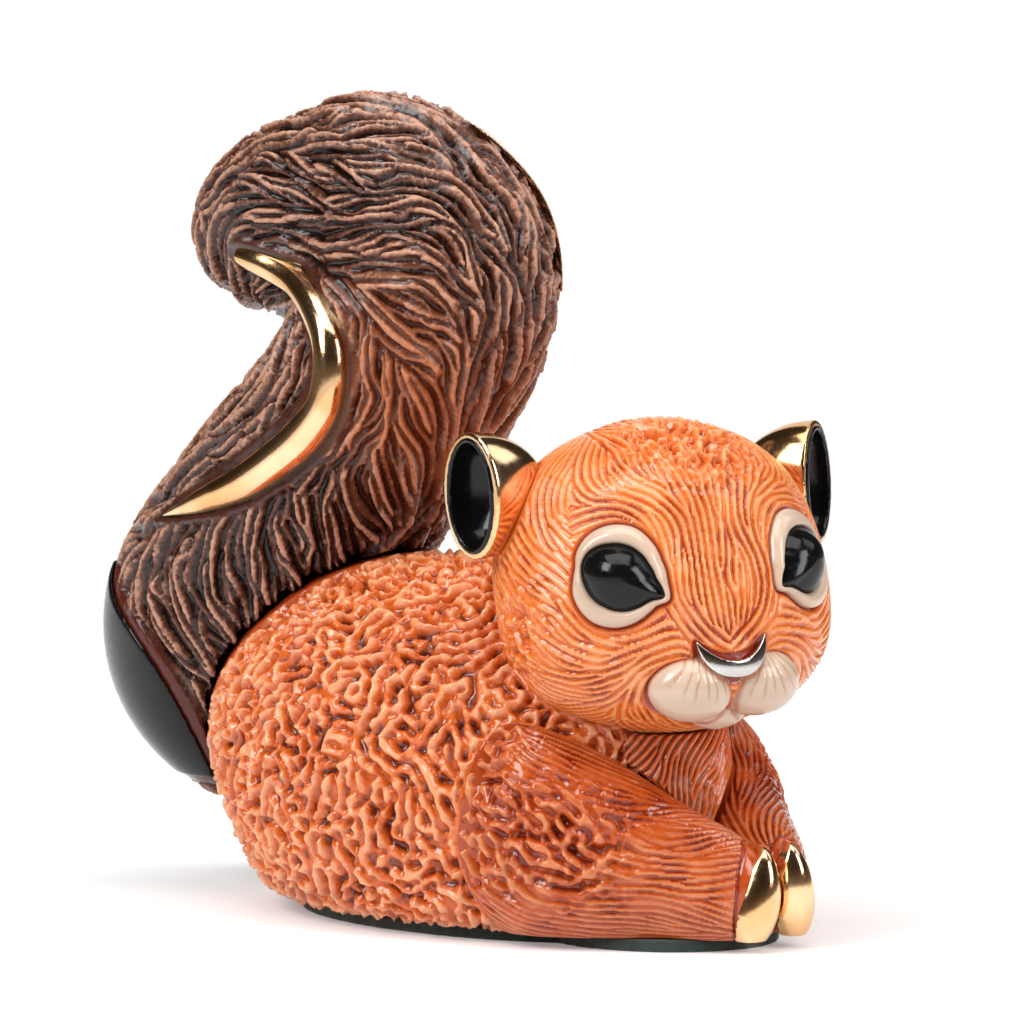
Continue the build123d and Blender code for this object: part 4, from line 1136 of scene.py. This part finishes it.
def eye_and_lid(word, side):
    """The dome and its lid, mirrored for the left side."""
    placed = eye_frame(side)
    angles = np.arange(EYE_STEPS) * 360 / EYE_STEPS
    inner, outer = outline(EYE_OUTLINE, angles), outline(LID_OUTLINE, angles)
    inner = np.minimum(inner, outer - 0.35)
    flip = -side

    def spot(radius, k, rise, level):
        x = flip * radius * math.cos(math.radians(angles[k]))
        y = radius * math.sin(math.radians(angles[k]))
        return placed @ Vector((x, y, level + rise))

    def level_at(radius, k):
        return skin_level(head_skin, placed, flip * radius * math.cos(math.radians(angles[k])),
                          radius * math.sin(math.radians(angles[k])))

    edge_in = [level_at(inner[k], k) for k in range(EYE_STEPS)]
    edge_out = [level_at(outer[k], k) for k in range(EYE_STEPS)]
    middle = skin_level(head_skin, placed, 0, 0)
    rows = []
    for share in [0.04 * k for k in range(1, EYE_ROWS)] + [1.0, EYE_FOOT]:
        rise = EYE_RISE * (1 - min(share, 1.0) ** 2.3) ** 0.8 + 0.1
        rows.append([spot(inner[k] * share, k, rise, middle + (edge_in[k] - middle) * share ** 2)
                     for k in range(EYE_STEPS)])
    rows += [[spot(inner[k] * share, k, -SUNK, min(edge_in[k], middle)) for k in range(EYE_STEPS)]
             for share in (EYE_FOOT, 0.5, 0.04)]
    eye = closed_mesh("eye_" + word, rows, False)
    eye.data.materials.append(black_glaze)
    plain_marks(eye)
    hand_over(eye, "domed_eye_" + word, "eye_" + word)
    rows = []
    for share in np.linspace(0, 1, 13):
        bulge = LID_RISE * math.sin(math.pi * share ** 0.8) ** 0.55
        rows.append([spot(inner[k] + (outer[k] - inner[k]) * share, k,
                          bulge * min(1.0, (outer[k] - inner[k]) / 1.2) - 0.05,
                          edge_in[k] + (edge_out[k] - edge_in[k]) * share) for k in range(EYE_STEPS)])
    rows += [[spot(inner[k] + (outer[k] - inner[k]) * share, k, -SUNK, min(edge_in[k], edge_out[k]))
              for k in range(EYE_STEPS)] for share in (1.0, 0.0)]
    lid = closed_mesh("lid_" + word, rows, True)
    lid.data.materials.append(cream_glaze)
    plain_marks(lid)
    surface_of("lid_" + word, lid)
    hand_over(lid, "lid_" + word, "eye_rim_" + word)


for word, side in (("right", -1), ("left", 1)):
    eye_and_lid(word, side)

# %% [markdown]
# ## The head
#
# Fine lines about a millimetre apart circle the eye and the cheek and run down the forehead to
# the nose. The crown is rough, with a few deep notches, and so is a patch on the right cheek.
# A clean line is cut round each lid and round the muzzle.

# %% Carve the head
middle_of_face = (eye_frame(-1).translation + eye_frame(1).translation) / 2
across_face = eye_frame(1).translation - eye_frame(-1).translation
comb(head, mirrored(HEAD_STROKES, np.array(middle_of_face), np.array(across_face)), reach=1.5, sway=0.12, wave=5)
grow(head, "line", 11, 24, 1, 5, 0.0005)
grow(head, "worm", 12, 5, 3, 11, 0.00012, 1.8, 1.1)
place, _ = points(head)
line, worm = stored(head, "line"), stored(head, "worm")
CROWN, CROWN_REACH, CHEEK, CHEEK_REACH = (-3, -23, 59), (7, 8, 6.5), (-20, -10, 36), (5, 5, 5)
crown, cheek = patch(place, CROWN, CROWN_REACH, 1.5), patch(place, CHEEK, CHEEK_REACH)
rough = np.clip(crown + 0.8 * cheek, 0, 1)
worm = 0.45 * worm + 0.55 * crumple(place, 2.7, 5)
uneven = np.clip(0.85 + 0.9 * wander(place, 2.6, 8), 0.3, 1.25)
to_trim = gap_to(place, ["lid_right", "lid_left", "muzzle_pad_right", "muzzle_pad_left", "chin", "nose"], 1.5)
to_ears = gap_to(place, ["ear_right", "ear_left"], 1.5)
carved = step(to_trim, 0.35, 0.8) * step(to_ears, 0.2, 0.7)
groove = step(0.5 - line, -0.15, 0.45)
LINE_DEPTH, NOTCH_DEPTH, NOTCH_LIFT, OUTLINE_DEPTH = 0.24, 2.0, 0.2, 0.36
notch = NOTCH_DEPTH * uneven * (1 - worm) ** 1.2 - NOTCH_LIFT
cut = carved * ((1 - rough) * LINE_DEPTH * groove * uneven + rough * notch)
cut = cut + OUTLINE_DEPTH * (1 - step(to_trim, 0.15, 0.5))
height = carved * ((1 - rough) * (0.82 - 0.62 * groove * uneven) + rough * worm) + (1 - carved) * 0.5
carve(head, cut, height, head_glaze, chatter=0.1, size=0.7, rim=1 - step(to_trim, 0.2, 0.55))
hand_over(head, "carved_head", "head_casting")

# %% [markdown]
# ## The forelegs and the chest
#
# Each foreleg is worm-work on its shoulder, fine lines along its lower edge and at the wrist,
# and almost smooth on top. The chest is hatched with short strokes that all lean one way.

# %% Carve the forelegs
LEG_LINE, LEG_RIDGE, WRIST_DEPTH = 0.18, 1.5, 0.25
SHOULDER, SHOULDER_REACH = np.array((18, -14, 12.5)), (9, 11, 7)
WORN_TOP, WORN_REACH = np.array((13, -24, 17)), (6, 7, 3)


def foreleg(node, side, seed):
    """One foreleg; side is -1 for the right one and 1 for the left one."""
    leg = even_skin(node, 0.2, 14)
    turned = (side, 1, 1)
    guides = [[(-side * x, y, z) for x, y, z in stroke] for stroke in FORELEG_STROKES]
    comb(leg, guides, reach=1.5, sway=0.15, wave=6, seed=seed)
    grow(leg, "line", seed, 22, 1, 5, 0.0005)
    grow(leg, "worm", seed + 1, 6, 6, 20, 0.0002, 1.8, 1.3)
    place, _ = points(leg)
    line, worm = stored(leg, "line"), stored(leg, "worm")
    rough = patch(place, SHOULDER * turned, SHOULDER_REACH, 1.6)
    rough = np.clip(np.maximum(rough * 1.3, step(place[:, 1], -13, -9) * step(place[:, 2], 5, 9)), 0, 1)
    smooth = patch(place, WORN_TOP * turned, WORN_REACH)
    worm = 0.6 * worm + 0.4 * crumple(place, 2.3, seed)
    uneven = np.clip(0.85 + 0.9 * wander(place, 2.8, seed), 0.3, 1.3)
    to_others = gap_to(place, ["body_casting", "head_casting", "chest_bib"], 1.5)
    to_toe = gap_to(place, ["toe_right", "toe_left"], 1.8)
    carved = step(to_others, 0.0, 0.2) * step(to_toe, 0.9, 1.4)
    groove = step(0.5 - line, -0.2, 0.42)
    wrist = step(to_toe, 0.7, 0.95) * (1 - step(to_toe, 1.1, 1.4))
    cut = carved * ((1 - rough) * LEG_LINE * groove * uneven * (1 - 0.8 * smooth)
                    + rough * (LEG_RIDGE * uneven * (1 - worm) - LIFT))
    cut = cut + (SEAM_DEPTH * (1 - step(to_others, 0.0, 0.5)) + WRIST_DEPTH * wrist)
    height = carved * ((1 - rough) * (0.8 - 0.6 * groove * uneven - 0.4 * smooth) + rough * worm)
    height = height + (1 - carved) * 0.4
    rim = np.maximum(0.9 * wrist, 0.25 * (1 - step(to_others, 0.0, 0.4)))
    carve(leg, cut, height, foreleg_glaze, chatter=0.1, size=0.8, rim=rim)
    hand_over(leg, "carved_" + node, node)


foreleg("foreleg_right", -1, 21)
foreleg("foreleg_left", 1, 31)

# %% Carve the chest
chest = even_skin("chest_bib", 0.16, 12)
comb(chest, CHEST_STROKES, reach=1.5, sway=0.2, wave=5)
grow(chest, "line", 41, 24, 2, 8, 0.0004)
place, _ = points(chest)
line = stored(chest, "line")
to_others = gap_to(place, ["head_casting", "foreleg_right", "foreleg_left", "chin"], 1.0)
seam = 1 - step(to_others, 0.1, 0.6)
carve(chest, 0.3 * (1 - line) + 0.2 * seam, 0.1 + 0.55 * line, body_glaze, rim=0.8 * seam)
hand_over(chest, "carved_chest", "chest_bib")

# %% [markdown]
# ## The smooth trim
#
# The muzzle, ears, nose and toes are left smooth, because gloss black, gold and platinum look
# their best on a plain curve. The muzzle sits a little higher than its CAD form, each toe is
# pinched at the top, and the nose is thinned to a crescent.

# %% Finish the trim
MUZZLE_LIFT = (0.15, 0.25, 0.85)
NOSE_CORNERS = {"right": (-11.2, -32.6, 36.2), "left": (-4.4, -35.0, 36.4)}
ACROSS = np.array(across_face) / np.linalg.norm(across_face)


def thin_crescent(place):
    """Presses the middle of the nose's upper edge down, so that it is a crescent."""
    sideways = (place - place.mean(axis=0)) @ ACROSS
    low, high = place[:, 2].min(), place[:, 2].max()
    middle = 1 - (sideways / np.abs(sideways).max()) ** 2
    place[:, 2] += 0.55 - 1.7 * middle * (place[:, 2] - low) / (high - low)
    return place


def leaf_toe(place):
    """Pinches a toe at the top and spreads it outwards at the bottom."""
    side = np.sign(place[:, 0].mean())
    low, high = place[:, 2].min(), place[:, 2].max()
    down = (high - place[:, 2]) / (high - low)
    inner = side * (place[:, 0] * side).min()
    across = (place[:, 0] - inner) * side
    place[:, 0] = inner + side * (0.55 + across * (0.68 + 0.5 * down))
    place[:, 1] += 0.12 * across * down
    return place


def smooth_piece(node, grain, sponge, material, near=(), stain=0.0, lift=(0, 0, 0), fan=None,
                 swell=(1, 1, 1), reshape=None):
    """A softened skin with a stained edge where it meets its neighbours, and brush strokes on a muzzle pad."""
    piece = even_skin(node, grain, sponge)
    if reshape:
        piece.data.vertices.foreach_set("co", (reshape(points(piece)[0]) * MM).astype(np.float32).ravel())
        piece.data.update()
    centre = Vector(points(piece)[0].mean(axis=0)) * MM
    piece.data.transform(Matrix.Translation(Vector(lift) * MM + centre) @ Matrix.Diagonal((*swell, 1))
                         @ Matrix.Translation(-centre))
    place, _ = points(piece)
    edge = (1 - step(gap_to(place, near, 1.0), 0.05, 0.45)) * stain if near else np.zeros(len(place))
    cut, height = np.zeros(len(place)), np.full(len(place), 0.9)
    if fan:
        away = place - np.array(fan)
        sideways = away @ ACROSS
        far = np.hypot(sideways, away[:, 2])
        turn = np.arctan2(away[:, 2], sideways)
        stroke = step(np.cos(turn * 30 + 2.0 * wander(place, 2.5, 3)), 0.4, 1.0)
        stroke *= step(far, 1.4, 2.6) * (1 - step(far, 5.6, 8.0)) * np.clip(0.9 + wander(place, 1.6, 5), 0, 1)
        cut, height = 0.06 * stroke, 0.95 - 0.55 * stroke
    carve(piece, cut, height, material, chatter=0.0, rim=edge)
    hand_over(piece, "glazed_" + node, node)


for word, other in (("right", "left"), ("left", "right")):
    smooth_piece("muzzle_pad_" + word, 0.15, 14, cream_glaze,
                 ["smooth head", "nose", "muzzle_pad_" + other], 0.8,
                 tuple(np.array(MUZZLE_LIFT) + ACROSS * (0.45 if word == "right" else -0.45)), NOSE_CORNERS[word],
                 swell=(1.07, 1.07, 0.95))
    smooth_piece("ear_" + word, 0.16, 14, gold_lustre)
    smooth_piece("ear_lining_" + word, 0.16, 10, black_glaze, swell=(1.1, 1.1, 1.1))
    smooth_piece("toe_" + word, 0.14, 12, gold_lustre, reshape=leaf_toe)
smooth_piece("chin", 0.14, 12, cream_glaze, ["muzzle_pad_right", "muzzle_pad_left"], 0.8, MUZZLE_LIFT)
smooth_piece("nose", 0.12, 10, platinum_lustre, reshape=thin_crescent)
smooth_piece("tail_crest_band", 0.12, 6, gold_lustre, lift=(-0.8, -0.2, 0.1))
smooth_piece("tail_base_patch", 0.3, 14, black_glaze)
smooth_piece("felt_pad", 0.3, 6, felt_green)
